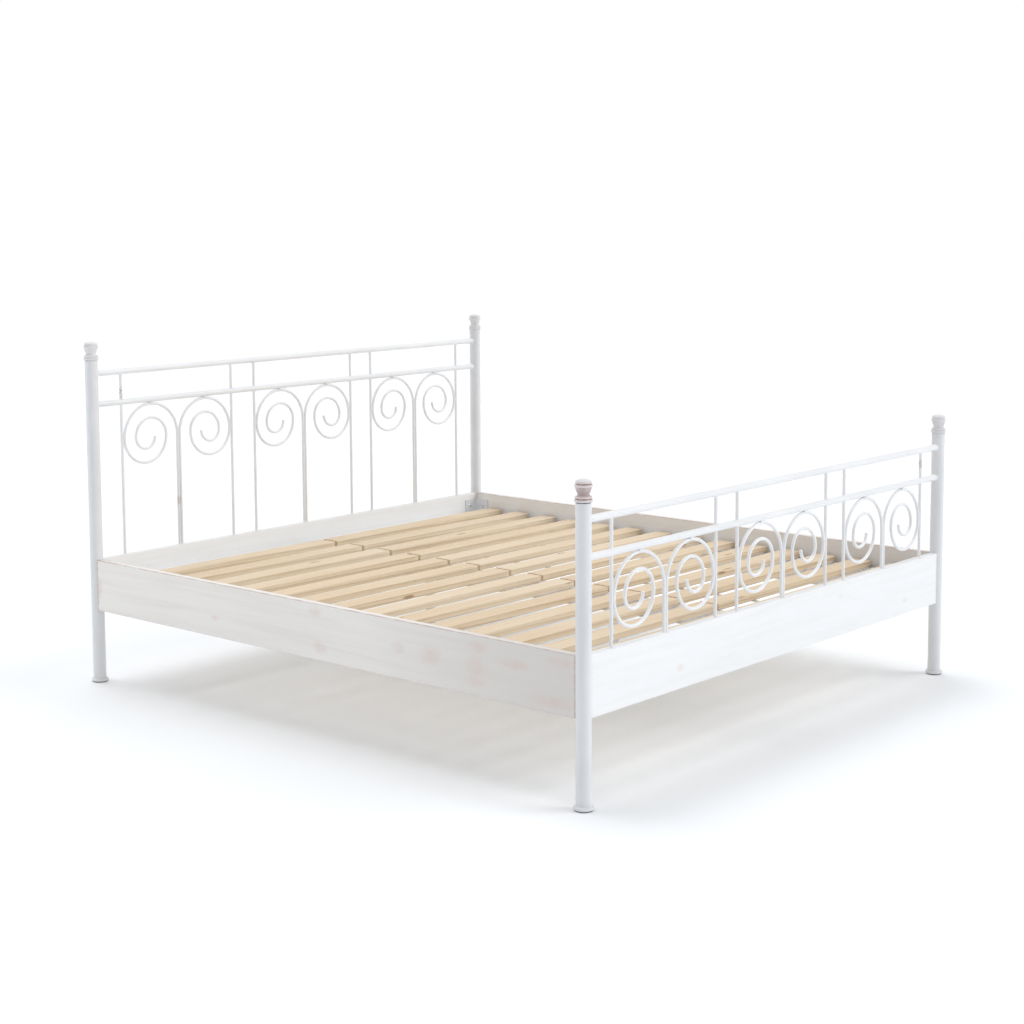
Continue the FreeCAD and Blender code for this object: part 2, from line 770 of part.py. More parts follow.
BEAM_LENGTH = f"(2 * ({END_FACE} - saddle_thickness - beam_end_gap))"
BEAM_BOTTOM = "(slat_top - slat_thickness - beam_depth)"
BEAM_BOLT_INSET = "(bed_length / 2 - board_thickness / 2 - saddle_thickness - saddle_length / 2)"
SADDLE_INSIDE = "(beam_width / 2 + saddle_side_gap)"


def make_centre_beam():
    """Rectangular tube from the head board to the foot board, drilled for its bolts."""
    body = new_body("centre_beam")
    section = new_sketch(body, "XZ_Plane", "beam_section")
    for inset in ("0", "beam_wall"):
        add_rectangle(section, f"- beam_width / 2 + {inset}", f"- beam_depth / 2 + {inset}",
                      f"beam_width / 2 - {inset}", f"beam_depth / 2 - {inset}")
    pad(body, section, BEAM_LENGTH, symmetric=True)
    cross = new_sketch(body, "YZ_Plane", "beam_cross_holes")
    for way in ("-", "+"):
        add_circle(cross, "beam_bolt_hole_radius", across=f"{way} {BEAM_BOLT_INSET}")
    pocket(body, cross, through("beam_width"), symmetric=True)
    legs = new_sketch(body, "XY_Plane", "beam_leg_holes")
    for way in ("-", "+"):
        for reach in ("-", "+"):
            add_circle(legs, "beam_bolt_hole_radius", up=f"{way} leg_position {reach} leg_screw_reach")
    pocket(body, legs, "beam_depth")
    return node(body, "centre_beam")


def make_saddle():
    """U-shaped bracket that carries the beam's end. Its plate is screwed to a board at -Y."""
    body = new_body("beam_saddle_blank")
    plate = new_sketch(body, "XZ_Plane", "saddle_plate")
    bottom = "(- beam_depth / 2 - saddle_thickness)"
    add_rectangle(plate, "- saddle_plate_width / 2", bottom, "saddle_plate_width / 2", "beam_depth / 2")
    pad(body, plate, "saddle_thickness", reverse=True)
    cradle = new_sketch(body, "XZ_Plane", "saddle_cradle", offset="- saddle_thickness")
    outside = f"({SADDLE_INSIDE} + saddle_thickness)"
    add_outline(cradle, [
        (f"- {outside}", bottom), (outside, bottom), (outside, "beam_depth / 2 - saddle_thickness"),
        (SADDLE_INSIDE, "beam_depth / 2 - saddle_thickness"), (SADDLE_INSIDE, "- beam_depth / 2"),
        (f"- {SADDLE_INSIDE}", "- beam_depth / 2"),
        (f"- {SADDLE_INSIDE}", "beam_depth / 2 - saddle_thickness"),
        (f"- {outside}", "beam_depth / 2 - saddle_thickness"),
    ])
    pad(body, cradle, "saddle_length", reverse=True)
    screws = new_sketch(body, "XZ_Plane", "saddle_screw_holes")
    for across, rise in SADDLE_SCREW_PLACES:
        add_circle(screws, "screw_hole_radius", across=f"{across} saddle_screw_reach",
                   up=f"{rise} saddle_screw_rise")
    pocket(body, screws, through("saddle_thickness"), symmetric=True)
    cross = new_sketch(body, "YZ_Plane", "saddle_cross_hole")
    add_circle(cross, "beam_bolt_hole_radius", across="saddle_thickness + saddle_length / 2")
    pocket(body, cross, through("beam_width"), symmetric=True)
    return body


def make_hexagon_bolt(name, length):
    """Hexagon-head bolt, its head's underside at the origin and its shank pointing down."""
    shank = doc.addObject("Part::Cylinder", name + "_shank")
    bind(shank, Radius="beam_bolt_radius", Height=length)
    put(shank, up=f"- ({length})")
    head = doc.addObject("Part::Prism", name + "_head")
    head.Polygon = 6
    bind(head, Circumradius="beam_bolt_head_radius", Height="beam_bolt_head_rise")
    bolt_blank = doc.addObject("Part::MultiFuse", name)
    bolt_blank.Shapes = [shank, head]
    return bolt_blank


def make_nut():
    """Hexagon nut standing on the origin."""
    blank = doc.addObject("Part::Prism", "beam_nut_hexagon")
    blank.Polygon = 6
    bind(blank, Circumradius="beam_bolt_head_radius", Height="beam_nut_rise")
    bore = doc.addObject("Part::Cylinder", "beam_nut_bore")
    bind(bore, Radius="beam_bolt_radius + weld_gap / 2", Height="beam_nut_rise")
    nut = doc.addObject("Part::Cut", "beam_nut_blank")
    nut.Base = blank
    nut.Tool = bore
    return nut


put(make_centre_beam(), up=BEAM_LEVEL)
saddle = make_saddle()
group("beam_saddles", [
    (saddle, {"along": f"{end} * {END_FACE}", "up": BEAM_LEVEL, "turn": 0 if end == FOOT else 180})
    for end in END_NAMES
])
CHEEK_FACE = f"({SADDLE_INSIDE} + saddle_thickness)"
cross_bolt = make_hexagon_bolt("cross_bolt_blank", f"2 * {CHEEK_FACE} + beam_nut_rise + beam_bolt_spare")
leg_screw = make_hexagon_bolt("leg_screw_blank", "leg_screw_length")
beam_nut = make_nut()
beam_bolt_places = []
for end in END_NAMES:
    line = f"{end} * {BEAM_BOLT_INSET}"
    beam_bolt_places.append((cross_bolt, {
        "across": f"- {CHEEK_FACE}", "along": line, "up": BEAM_LEVEL, "tilt": HEAD_TO["-X"],
    }))
    beam_bolt_places.append((beam_nut, {
        "across": CHEEK_FACE, "along": line, "up": BEAM_LEVEL, "tilt": HEAD_TO["+X"],
    }))
    for reach in ("-", "+"):
        beam_bolt_places.append((leg_screw, {
            "along": f"{end} * leg_position {reach} leg_screw_reach",
            "up": f"{BEAM_BOTTOM} - leg_plate_thickness", "tilt": HEAD_TO["-Z"],
        }))
group("beam_bolts", beam_bolt_places)

# ---------------------------------------------------------------- centre legs and levelling feet

LEG_ENDS = {FOOT: "foot_end", HEAD: "head_end"}


def make_centre_leg(label):
    """Round tube with a plate on top, the tube's lower end at the origin."""
    length = f"({BEAM_BOTTOM} - leg_plate_thickness - leg_bottom)"
    body = new_body(label)
    section = new_sketch(body, "XY_Plane", label + "_section")
    add_circle(section, "leg_radius")
    add_circle(section, "leg_radius - leg_wall")
    pad(body, section, length)
    top = new_sketch(body, "XY_Plane", label + "_plate", offset=length)
    add_rectangle(top, "- leg_plate_width / 2", "- leg_plate_length / 2",
                  "leg_plate_width / 2", "leg_plate_length / 2")
    pad(body, top, "leg_plate_thickness")
    holes = new_sketch(body, "XY_Plane", label + "_plate_holes", offset=length)
    for reach in ("-", "+"):
        add_circle(holes, "beam_bolt_hole_radius", up=f"{reach} leg_screw_reach")
    pocket(body, holes, through("leg_plate_thickness"), symmetric=True)
    return node(body, label)


def make_plug():
    """Threaded plug: a flange under the leg's tube at the origin, and a sleeve inside it."""
    body = new_body("leg_plug_blank")
    flange = new_sketch(body, "XY_Plane", "plug_flange")
    add_circle(flange, "leg_radius")
    add_circle(flange, "plug_bore_radius")
    pad(body, flange, "plug_flange_thickness", reverse=True)
    sleeve = new_sketch(body, "XY_Plane", "plug_sleeve")
    add_circle(sleeve, "plug_body_radius")
    add_circle(sleeve, "plug_bore_radius")
    pad(body, sleeve, "plug_body_length")
    return body


def make_spindle(label):
    """Threaded spindle with a hexagonal collar, its lower end at the origin."""
    rod = doc.addObject("Part::Cylinder", label + "_rod")
    bind(rod, Radius="spindle_radius", Height="spindle_top - spindle_bottom")
    collar = doc.addObject("Part::Prism", label + "_collar")
    collar.Polygon = 6
    bind(collar, Circumradius="spindle_collar_radius", Height="spindle_collar_rise")
    put(collar, up="spindle_collar_bottom - spindle_bottom")
    spindle = doc.addObject("Part::MultiFuse", label)
    spindle.Shapes = [rod, collar]
    return node(spindle, label)


def make_levelling_pad(label):
    """Round pad with a chamfered top edge and a socket for the spindle's end."""
    body = new_body(label)
    outline = new_sketch(body, "XZ_Plane", label + "_outline")
    socket = "(spindle_radius + weld_gap / 2)"
    add_outline(outline, [
        ("0", "0"), ("pad_radius", "0"), ("pad_radius", "pad_rise - pad_chamfer"),
        ("pad_radius - pad_chamfer", "pad_rise"), (socket, "pad_rise"), (socket, "spindle_bottom"),
        ("0", "spindle_bottom"),
    ])
    revolve(body, outline)
    return node(body, label)


plug = make_plug()
group("leg_plugs", [(plug, {"along": f"{end} * leg_position", "up": "leg_bottom"}) for end in LEG_ENDS])
for end, leg_name in LEG_ENDS.items():
    line = f"{end} * leg_position"
    put(make_centre_leg(f"{leg_name}_centre_leg"), along=line, up="leg_bottom")
    put(make_spindle(f"{leg_name}_spindle"), along=line, up="spindle_bottom")
    put(make_levelling_pad(f"{leg_name}_levelling_pad"), along=line)

# ---------------------------------------------------------------- slats and webbing

SLAT_PITCH = f"(slat_run / {SLATS_PER_ROLL - 1})"
SLAT_MIDDLE = "(slat_inner_end + slat_length / 2)"


def make_slat():
    """Wooden slat with rounded long edges, its underside at the origin."""
    body = new_body("slat_blank")
    section = new_sketch(body, "YZ_Plane", "slat_section")
    add_rectangle(section, "- slat_width / 2", "0", "slat_width / 2", "slat_thickness")
    blank = pad(body, section, "slat_length", symmetric=True)
    round_edges(body, blank, "slat_edge_round", lambda edge: is_along(edge, Vector(1, 0, 0)))
    return body


slat = make_slat()
webbing = doc.addObject("Part::Box", "webbing_blank")
bind(webbing, Length="webbing_width", Width="slat_run + slat_width", Height="webbing_thickness")
webbing_places = []
for side, side_name in SIDES.items():
    group(f"{side_name}_slats", [
        (slat, {
            "across": f"{side} * {SLAT_MIDDLE}",
            "along": f"{i - (SLATS_PER_ROLL - 1) / 2} * {SLAT_PITCH}",
            "up": "slat_top - slat_thickness",
        })
        for i in range(SLATS_PER_ROLL)
    ])
    for way in ("-", "+"):
        middle = f"({side} * {SLAT_MIDDLE} {way} (slat_length / 2 - webbing_inset))"
        webbing_places.append((webbing, {
            "across": f"{middle} - webbing_width / 2",
            "along": "- (slat_run + slat_width) / 2",
            "up": "slat_top - slat_thickness - webbing_thickness",
        }))
group("webbing_straps", webbing_places)

# ---------------------------------------------------------------- check and export

doc.recompute()
for item in doc.Objects:
    if "Invalid" in item.State or "Error" in item.State:
        raise RuntimeError(f"{item.Label} failed to build: {item.State}")
os.makedirs("parts", exist_ok=True)
for part in nodes:
    if part.Shape.isNull() or not part.Shape.isValid():
        raise RuntimeError(f"{part.Label} has no valid shape")
    part.Shape.exportStep(f"parts/{part.Label}.step")
print(len(nodes), "parts written")
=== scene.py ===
"""Looks of the double bed frame, in metres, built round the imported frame.

+Z is up, -Y is the foot end and -X is the left side, as seen from the foot end.
"""

import math

import bmesh
import bpy
import numpy as np
from mathutils import Matrix, Vector


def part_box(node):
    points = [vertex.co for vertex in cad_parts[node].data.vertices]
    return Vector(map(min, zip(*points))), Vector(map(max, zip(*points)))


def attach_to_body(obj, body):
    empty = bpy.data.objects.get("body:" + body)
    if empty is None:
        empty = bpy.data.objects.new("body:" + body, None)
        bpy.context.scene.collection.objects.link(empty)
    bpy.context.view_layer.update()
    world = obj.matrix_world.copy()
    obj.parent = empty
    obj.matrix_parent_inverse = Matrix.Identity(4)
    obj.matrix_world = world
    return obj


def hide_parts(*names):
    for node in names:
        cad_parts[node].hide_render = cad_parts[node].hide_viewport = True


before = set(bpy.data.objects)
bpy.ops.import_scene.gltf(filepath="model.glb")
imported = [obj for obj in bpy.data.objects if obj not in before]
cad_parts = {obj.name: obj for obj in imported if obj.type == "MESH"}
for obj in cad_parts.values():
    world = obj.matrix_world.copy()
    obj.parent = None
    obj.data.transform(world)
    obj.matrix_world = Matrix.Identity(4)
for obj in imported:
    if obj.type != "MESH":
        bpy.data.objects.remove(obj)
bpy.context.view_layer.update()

MM = 0.001
LEFT = -1
RIGHT = 1
SIDES = {LEFT: "left", RIGHT: "right"}
ENDS = {-1: "foot", 1: "head"}
PANELS = ("left", "middle", "right")
SHARP_ANGLE = math.radians(38)  # edges sharper than this stay crisp

# ---------------- sizes read from the frame


def middle_of(node):
    low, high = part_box(node)
    return (low + high) / 2


def span_of(node):
    low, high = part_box(node)
    return high - low


POST_X = middle_of("foot_right_post").x
POST_Y = middle_of("head_left_post").y
POST_RADIUS = span_of("foot_left_post").x / 2
FELT_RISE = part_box("felt_pads")[1].z
RAIL_RADIUS = span_of("head_upper_rail").z / 2
ROD_RADIUS = span_of("head_left_panel_rods").y / 2
BOARD_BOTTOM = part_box("left_side_board")[0].z
BOARD_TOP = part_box("left_side_board")[1].z
BOARD_DEPTH = BOARD_TOP - BOARD_BOTTOM
BOARD_THICKNESS = span_of("left_side_board").x
BOARD_MIDDLE = BOARD_BOTTOM + BOARD_DEPTH / 2
BEAM_MIDDLE = middle_of("centre_beam").z

# ---------------- meshes from rings of points


def skin(rings, loop=False, **marks):
    """Closed surface through rings of points: points, faces and marks.

    In a loop the last ring joins the first; otherwise a flat cap closes each end. A mark is one
    number for each ring, or for each point of each ring, which a material can read.
    """
    rings = np.array([[tuple(point) for point in ring] for ring in rings], float)
    stations, around = rings.shape[:2]
    here = np.arange(stations * around).reshape(stations, around)
    there = np.roll(here, -1, axis=0)
    if not loop:
        here, there = here[:-1], there[:-1]
    quads = np.stack([here, np.roll(here, -1, axis=1), np.roll(there, -1, axis=1), there], axis=-1)
    faces = quads.reshape(-1, 4).tolist()
    if not loop:
        faces.append(list(range(around))[::-1])
        faces.append(list(range((stations - 1) * around, stations * around)))
    spread = {}
    for name, numbers in marks.items():
        numbers = np.asarray(numbers, float).reshape(stations, -1)
        spread[name] = np.broadcast_to(numbers, (stations, around)).ravel()
    return rings.reshape(-1, 3), faces, spread


def new_object(name, data):
    thing = bpy.data.objects.new(name, data)
    bpy.context.scene.collection.objects.link(thing)
    return thing


def finish(node, shapes, stuff, body="bed", extra=False):
    """One visible piece from closed shapes, made of a (slot, material) stuff and riding on a body.

    It stands for the CAD node of that name, unless it is an extra that the CAD leaves out.
    """
    slot, material = stuff
    name = node if extra else node + "_finish"
    points = []
    faces = []
    marks = {}
    count = sum(len(shape[0]) for shape in shapes)
    start = 0
    for shape_points, shape_faces, shape_marks in shapes:
        points.append(shape_points)
        faces.extend([corner + start for corner in face] for face in shape_faces)
        for mark, numbers in shape_marks.items():
            marks.setdefault(mark, np.zeros((count,) + numbers.shape[1:]))
            marks[mark][start:start + len(shape_points)] = numbers
        start += len(shape_points)
    mesh = bpy.data.meshes.new(name)
    mesh.from_pydata(np.concatenate(points).tolist(), [], faces)
    for mark, numbers in marks.items():
        kind, field = ("FLOAT_VECTOR", "vector") if numbers.ndim == 2 else ("FLOAT", "value")
        mesh.attributes.new(mark, kind, "POINT").data.foreach_set(field, numbers.astype(np.float32).ravel())
    solid = bmesh.new()
    solid.from_mesh(mesh)
    bmesh.ops.recalc_face_normals(solid, faces=solid.faces)
    solid.to_mesh(mesh)
    solid.free()
    mesh.shade_smooth()
    mesh.set_sharp_from_angle(angle=SHARP_ANGLE)
    mesh.materials.append(material)
    piece = new_object(name, mesh)
    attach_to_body(piece, body)
    if not extra:
        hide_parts(node)


def keep(node, stuff):
    """Show a CAD node as it is, with a better material."""
    slot, material = stuff
    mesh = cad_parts[node].data
    mesh.materials.clear()
    mesh.materials.append(material)


# ---------------- outlines

def unit(step):
    return step / np.hypot(*step)


def in_millimetres(*corners):
    """Open outline through (across, up) corners given in millimetres.

    A third number makes the stretch up to that corner an arc of that radius. It bulges to the
    right of its way, or to the left where the radius is negative.
    """
    steps = 8
    corners = [[number * MM for number in corner] for corner in corners]
    line = [np.array(corners[0][:2], float)]
    for corner in corners[1:]:
        here = line[-1]
        there = np.array(corner[:2], float)
        if len(corner) > 2:
            way = math.copysign(1, corner[2])
            half = np.hypot(*(there - here)) / 2
            left = unit(there - here)[::-1] * (-1, 1)
            centre = (here + there) / 2 + left * way * math.sqrt(corner[2] ** 2 - half ** 2)
            sweep = 2 * math.asin(half / abs(corner[2]))
            for i in range(1, steps):
                turn = way * sweep * i / steps
                rotation = np.array([[math.cos(turn), -math.sin(turn)], [math.sin(turn), math.cos(turn)]])
                line.append(centre + rotation @ (here - centre))
        line.append(there)
    return [tuple(point) for point in line]


def softened(corners, steps=4):
    """Closed outline of straight sides whose corners (across, up, radius) are rounded."""
    outline = []
    for i, (across, up, radius) in enumerate(corners):
        if radius == 0:
            outline.append((across, up))
            continue
        here = np.array((across, up), float)
        backward = unit(np.array(corners[i - 1][:2]) - here)
        forward = unit(np.array(corners[(i + 1) % len(corners)][:2]) - here)
        half = math.acos(np.clip(backward @ forward, -1, 1)) / 2
        centre = here + unit(backward + forward) * radius / math.sin(half)
        setback = radius / math.tan(half)
        first = here + backward * setback - centre
        last = here + forward * setback - centre
        sweep = math.pi - 2 * half
        for k in range(steps + 1):
            share = k / steps
            spoke = math.sin((1 - share) * sweep) * first + math.sin(share * sweep) * last
            outline.append(tuple(centre + spoke / math.sin(sweep)))
    return outline


def rectangle(width, height, radius):
    corners = ((1, 1), (-1, 1), (-1, -1), (1, -1))
    return softened([(a * width / 2, b * height / 2, radius) for a, b in corners])


def circle(radius, sides):
    return [(radius * math.cos(math.tau * i / sides), radius * math.sin(math.tau * i / sides))
            for i in range(sides)]


def inset(outline, amount):
    """The outline moved inwards by a small amount."""
    points = np.array(outline, float)
    after = np.roll(points, -1, axis=0)
    area = np.sum(points[:, 0] * after[:, 1] - after[:, 0] * points[:, 1])
    step = after - points
    step /= np.hypot(step[:, 0], step[:, 1])[:, None]
    inward = np.stack([-step[:, 1], step[:, 0]], axis=1) * math.copysign(1, area)
    before = np.roll(inward, 1, axis=0)
    mitre = (inward + before) / (1 + np.sum(inward * before, axis=1))[:, None]
    return [tuple(point) for point in points + mitre * amount]


# ---------------- shapes

def swept(path, section, side, edge=0.0, steps=3):
    """A section carried along a path, its two ends rounded off by edge.

    Section points are (a, b), with a along side and b along side x heading.
    """
    path = np.array([tuple(point) for point in path], float)
    side = np.array(side, float)
    headings = np.gradient(path, axis=0)
    headings /= np.linalg.norm(headings, axis=1)[:, None]
    stations = [(point, heading, 0.0) for point, heading in zip(path, headings)]
    if edge:
        turns = [math.pi / 2 * i / steps for i in range(steps + 1)]
        first = [(path[0] + headings[0] * edge * (1 - math.cos(t)), headings[0], edge * (1 - math.sin(t)))
                 for t in turns]
        last = [(path[-1] - headings[-1] * edge * (1 - math.cos(t)), headings[-1], edge * (1 - math.sin(t)))
                for t in reversed(turns)]
        stations = first + stations[1:-1] + last
    rings = []
    for point, heading, shrink in stations:
        outline = np.array(inset(section, shrink) if shrink else section)
        rings.append(point + outline[:, :1] * side + outline[:, 1:] * np.cross(side, heading))
    return skin(rings)


def hexagonal(angles):
    """How far a hexagon's side is at each angle, as a share of half its width across the flats."""
    sixth = math.pi / 3
    return 1 / np.cos(angles % sixth - sixth / 2)


def crossed(angles):
    """The same for the cross-shaped recess of a screw, as a share of the length of its arms."""
    slimmest = np.minimum(np.abs(np.sin(angles)), np.abs(np.cos(angles)))
    return np.minimum(1, 0.24 / np.maximum(slimmest, 0.01))


def turned(profile, base, axis=(0, 0, 1), sides=48, loop=False):
    """Lathe work. The profile's points are (radius, height) or (radius, height, form)."""
    axis = Vector(axis)
    first = axis.orthogonal().normalized()
    if abs(axis.z) > 0.5:
        first = Vector((1, 0, 0))
    second = axis.cross(first)
    angles = np.arange(sides) * math.tau / sides
    round_about = np.cos(angles)[:, None] * np.array(first) + np.sin(angles)[:, None] * np.array(second)
    rings = []
    for radius, height, *form in profile:
        reach = radius * (form[0](angles) if form else np.ones(sides))
        rings.append(np.array(base) + height * np.array(axis) + reach[:, None] * round_about)
    return skin(rings, loop=loop, rise=[point[1] for point in profile])


def member(along, line, height, section, radius):
    """A bar or board along X (0) or Y (1), between two posts' axes and scribed to their round faces."""
    reach = POST_Y if along else POST_X
    path = [(-reach, line, height), (reach, line, height)]
    if along:
        path = [(y, x, z) for x, y, z in path]
    shape = swept(path, section, (1, 0, 0) if along else (0, -1, 0))
    points = shape[0]
    at_end = np.abs(points[:, along]) > reach - MM
    offset = points[at_end, 1 - along] - line
    points[at_end, along] = np.sign(points[at_end, along]) * (reach - np.sqrt(radius ** 2 - offset ** 2))
    return shape


def grained(shape, along, seed):
    """Mark a wooden shape with a place in its own log, so that no two pieces have the same grain."""
    points, faces, marks = shape
    order = (along, 1 - along, 2) if along < 2 else (2, 0, 1)
    shift = np.array((7.3, 0.61, 0.37)) * seed
    return points, faces, {**marks, "grain": points[:, order] + shift}


WELD_RIPPLES = 13
WELD_RIPPLE = 0.07  # as a share of the weld's leg
WELD_SINK = 0.1 * MM  # into the two parts it joins
WELD_HOLLOW = 0.45  # 0 follows the corner, 1 is a flat bevel


def fillet(centre, branch, main, branch_radius, main_radius, leg, sides=40):
    """Weld round a branch that stands on a tube with its axis through centre, or on a flat face.

    main is the direction of the tube's axis, and main_radius is None for a flat face.
    """
    centre, branch, main = Vector(centre), Vector(branch), Vector(main)
    across = branch.cross(main)
    rings = []
    for i in range(sides):
        angle = math.tau * i / sides
        outward = math.cos(angle) * main + math.sin(angle) * across
        size = leg * (1 + WELD_RIPPLE * math.sin(WELD_RIPPLES * angle))

        def surface(radius):
            if main_radius is None:
                return 0.0
            return math.sqrt(main_radius ** 2 - (radius * math.sin(angle)) ** 2)

        root = centre + outward * branch_radius + branch * surface(branch_radius)
        top = root + branch * size - outward * WELD_SINK
        foot_radius = branch_radius + size
        foot = centre + outward * foot_radius + branch * (surface(foot_radius) - WELD_SINK)
        bend = root.lerp((top + foot) / 2, WELD_HOLLOW)
        ring = [top.lerp(bend, t).lerp(bend.lerp(foot, t), t) for t in (0, 0.2, 0.4, 0.6, 0.8, 1)]
        ring.append(root - outward * MM - branch * MM)
        rings.append(ring)
    return skin(rings, loop=True)


def bead(centre, along, length, radius):
    """Short tack weld: a rounded lump with a few ripples."""
    steps = 14
    profile = []
    for i in range(steps + 1):
        share = 2 * i / steps - 1
        swell = math.sqrt(max(1 - abs(share) ** 3, 0.02)) * (1 + 0.05 * math.cos(5 * math.pi * share))
        profile.append((radius * swell, share * length / 2))
    return turned(profile, centre, along, sides=16)


# ---------------- material helpers

def new_material(name):
    material = bpy.data.materials.new(name)
    material.use_nodes = True
    return material, material.node_tree


def add(tree, kind, inputs=None, output=0, **settings):
    """New node; inputs maps sockets to numbers or to other nodes' outputs. Gives one output."""
    node = tree.nodes.new("ShaderNode" + kind)
    for name, setting in settings.items():
        setattr(node, name, setting)
    for socket, source in (inputs or {}).items():
        if isinstance(source, bpy.types.NodeSocket):
            tree.links.new(source, node.inputs[socket])
        else:
            node.inputs[socket].default_value = source
    return node.outputs[output]


def place_in_frame(tree):
    return add(tree, "TexCoord", output="Object")


def coordinate(tree, place, axis):
    return add(tree, "SeparateXYZ", {0: place}, output=axis)


def attribute(tree, name, output="Fac"):
    return add(tree, "Attribute", attribute_name=name, output=output)


def scaled(tree, vector, factors):
    return add(tree, "VectorMath", {0: vector, 1: factors}, operation="MULTIPLY")


def noise(tree, vector, scale, detail=4.0, roughness=0.5, distortion=0.0):
    """Noise at one scale, or at three, one for each direction."""
    if isinstance(scale, tuple):
        vector = scaled(tree, vector, scale)
        scale = 1.0
    return add(tree, "TexNoise", {"Vector": vector, "Scale": scale, "Detail": detail,
                                  "Roughness": roughness, "Distortion": distortion})


def between(tree, value, low, high, to_low=0.0, to_high=1.0, smooth=True):
    """The value's place from low to high, mapped to to_low and to_high and held at the ends."""
    return add(tree, "MapRange", {"Value": value, "From Min": low, "From Max": high,
                                  "To Min": to_low, "To Max": to_high},
               interpolation_type="SMOOTHSTEP" if smooth else "LINEAR")


def maths(tree, operation, first, second=0.0):
    return add(tree, "Math", {0: first, 1: second}, operation=operation)


def mix(tree, share, first, second):
    """From the first colour, where share is 0, to the second; each is a socket or three numbers."""
    node = tree.nodes.new("ShaderNodeMix")
    node.data_type = "RGBA"
    tree.links.new(share, node.inputs[0])
    for socket, source in ((6, first), (7, second)):
        if isinstance(source, bpy.types.NodeSocket):
            tree.links.new(source, node.inputs[socket])
        else:
            node.inputs[socket].default_value = (*source, 1.0)
    return node.outputs[2]


def ramp(tree, value, stops):
    """Colour ramp over (place, colour) stops."""
    node = tree.nodes.new("ShaderNodeValToRGB")
    tree.links.new(value, node.inputs[0])
    elements = node.color_ramp.elements
    while len(elements) < len(stops):
        elements.new(0.5)
    for element, (place, tone) in zip(elements, stops):
        element.position = place
        element.color = (*tone, 1.0)
    return node.outputs[0]


def bump(tree, height, distance, under=None):
    inputs = {"Height": height, "Distance": distance, "Strength": 1.0}
    if under is not None:
        inputs["Normal"] = under
    return add(tree, "Bump", inputs)


def spot(tree, place, centre, size):
    """1 at the centre of an oval spot, falling to 0 at its edge."""
    away = add(tree, "VectorMath", {0: place, 1: centre}, operation="SUBTRACT")
    away = scaled(tree, away, [1 / length for length in size])
    distance = add(tree, "VectorMath", {0: away}, operation="LENGTH", output="Value")
    return between(tree, distance, 0.15, 1.0, 1.0, 0.0)


def attach(material, **sockets):
    """Join the nodes to the material's shader, and give the finished material back."""
    tree = material.node_tree
    for name, source in sockets.items():
        socket = tree.nodes["Principled BSDF"].inputs[name.replace("_", " ")]
        if isinstance(source, bpy.types.NodeSocket):
            tree.links.new(source, socket)
        else:
            socket.default_value = source
    return material


# ---------------- materials

RUST_BROWN = (0.36, 0.22, 0.16)
RUBBED_PLACES = [  # centre and size of rubbed spots on the steel
    ((-0.810, 1.025, 0.945), (0.02, 0.02, 0.030)),
    ((-0.585, 1.025, 0.560), (0.02, 0.02, 0.022)),
    ((0.810, -1.025, 0.715), (0.02, 0.02, 0.020)),
]


def powder_coat(name, deep, pale):
    """Satin white coat on steel, with faint clouding, orange peel and a few rubbed spots."""
    material, tree = new_material(name)
    place = place_in_frame(tree)
    cloud = noise(tree, place, 6.0, detail=3.0)
    tone = ramp(tree, cloud, [(0.32, deep), (0.68, pale)])
    speckle = noise(tree, place, 210.0, detail=6.0, roughness=0.7)
    wear = between(tree, speckle, 0.66, 0.74, 0.0, 0.30)
    patch = between(tree, noise(tree, place, 8.0, detail=2.0), 0.56, 0.70)
    wear = maths(tree, "MULTIPLY", wear, patch)
    grit = between(tree, noise(tree, place, 160.0, detail=5.0, roughness=0.65), 0.38, 0.58, 0.0, 0.8)
    for centre, size in RUBBED_PLACES:
        rubbed = maths(tree, "MULTIPLY", spot(tree, place, centre, size), grit)
        wear = maths(tree, "MAXIMUM", wear, rubbed)
    gloss = between(tree, noise(tree, place, 45.0, detail=4.0), 0.3, 0.7, 0.34, 0.46)
    peel = bump(tree, noise(tree, place, 620.0, detail=2.0), 0.00004)
    forged = bump(tree, noise(tree, place, 55.0, detail=2.0), 0.00022, under=peel)
    return attach(material, Base_Color=mix(tree, wear, tone, RUST_BROWN), Roughness=gloss, Normal=forged,
                  Specular_IOR_Level=0.5, Coat_Weight=0.12, Coat_Roughness=0.3)


RUBBED_BAND = 3.4 * MM  # depth of the rubbed band under a board's top
SIDE_SHADE_FROM = -0.1  # side boards are painted darker from here towards the foot end, as painted shade
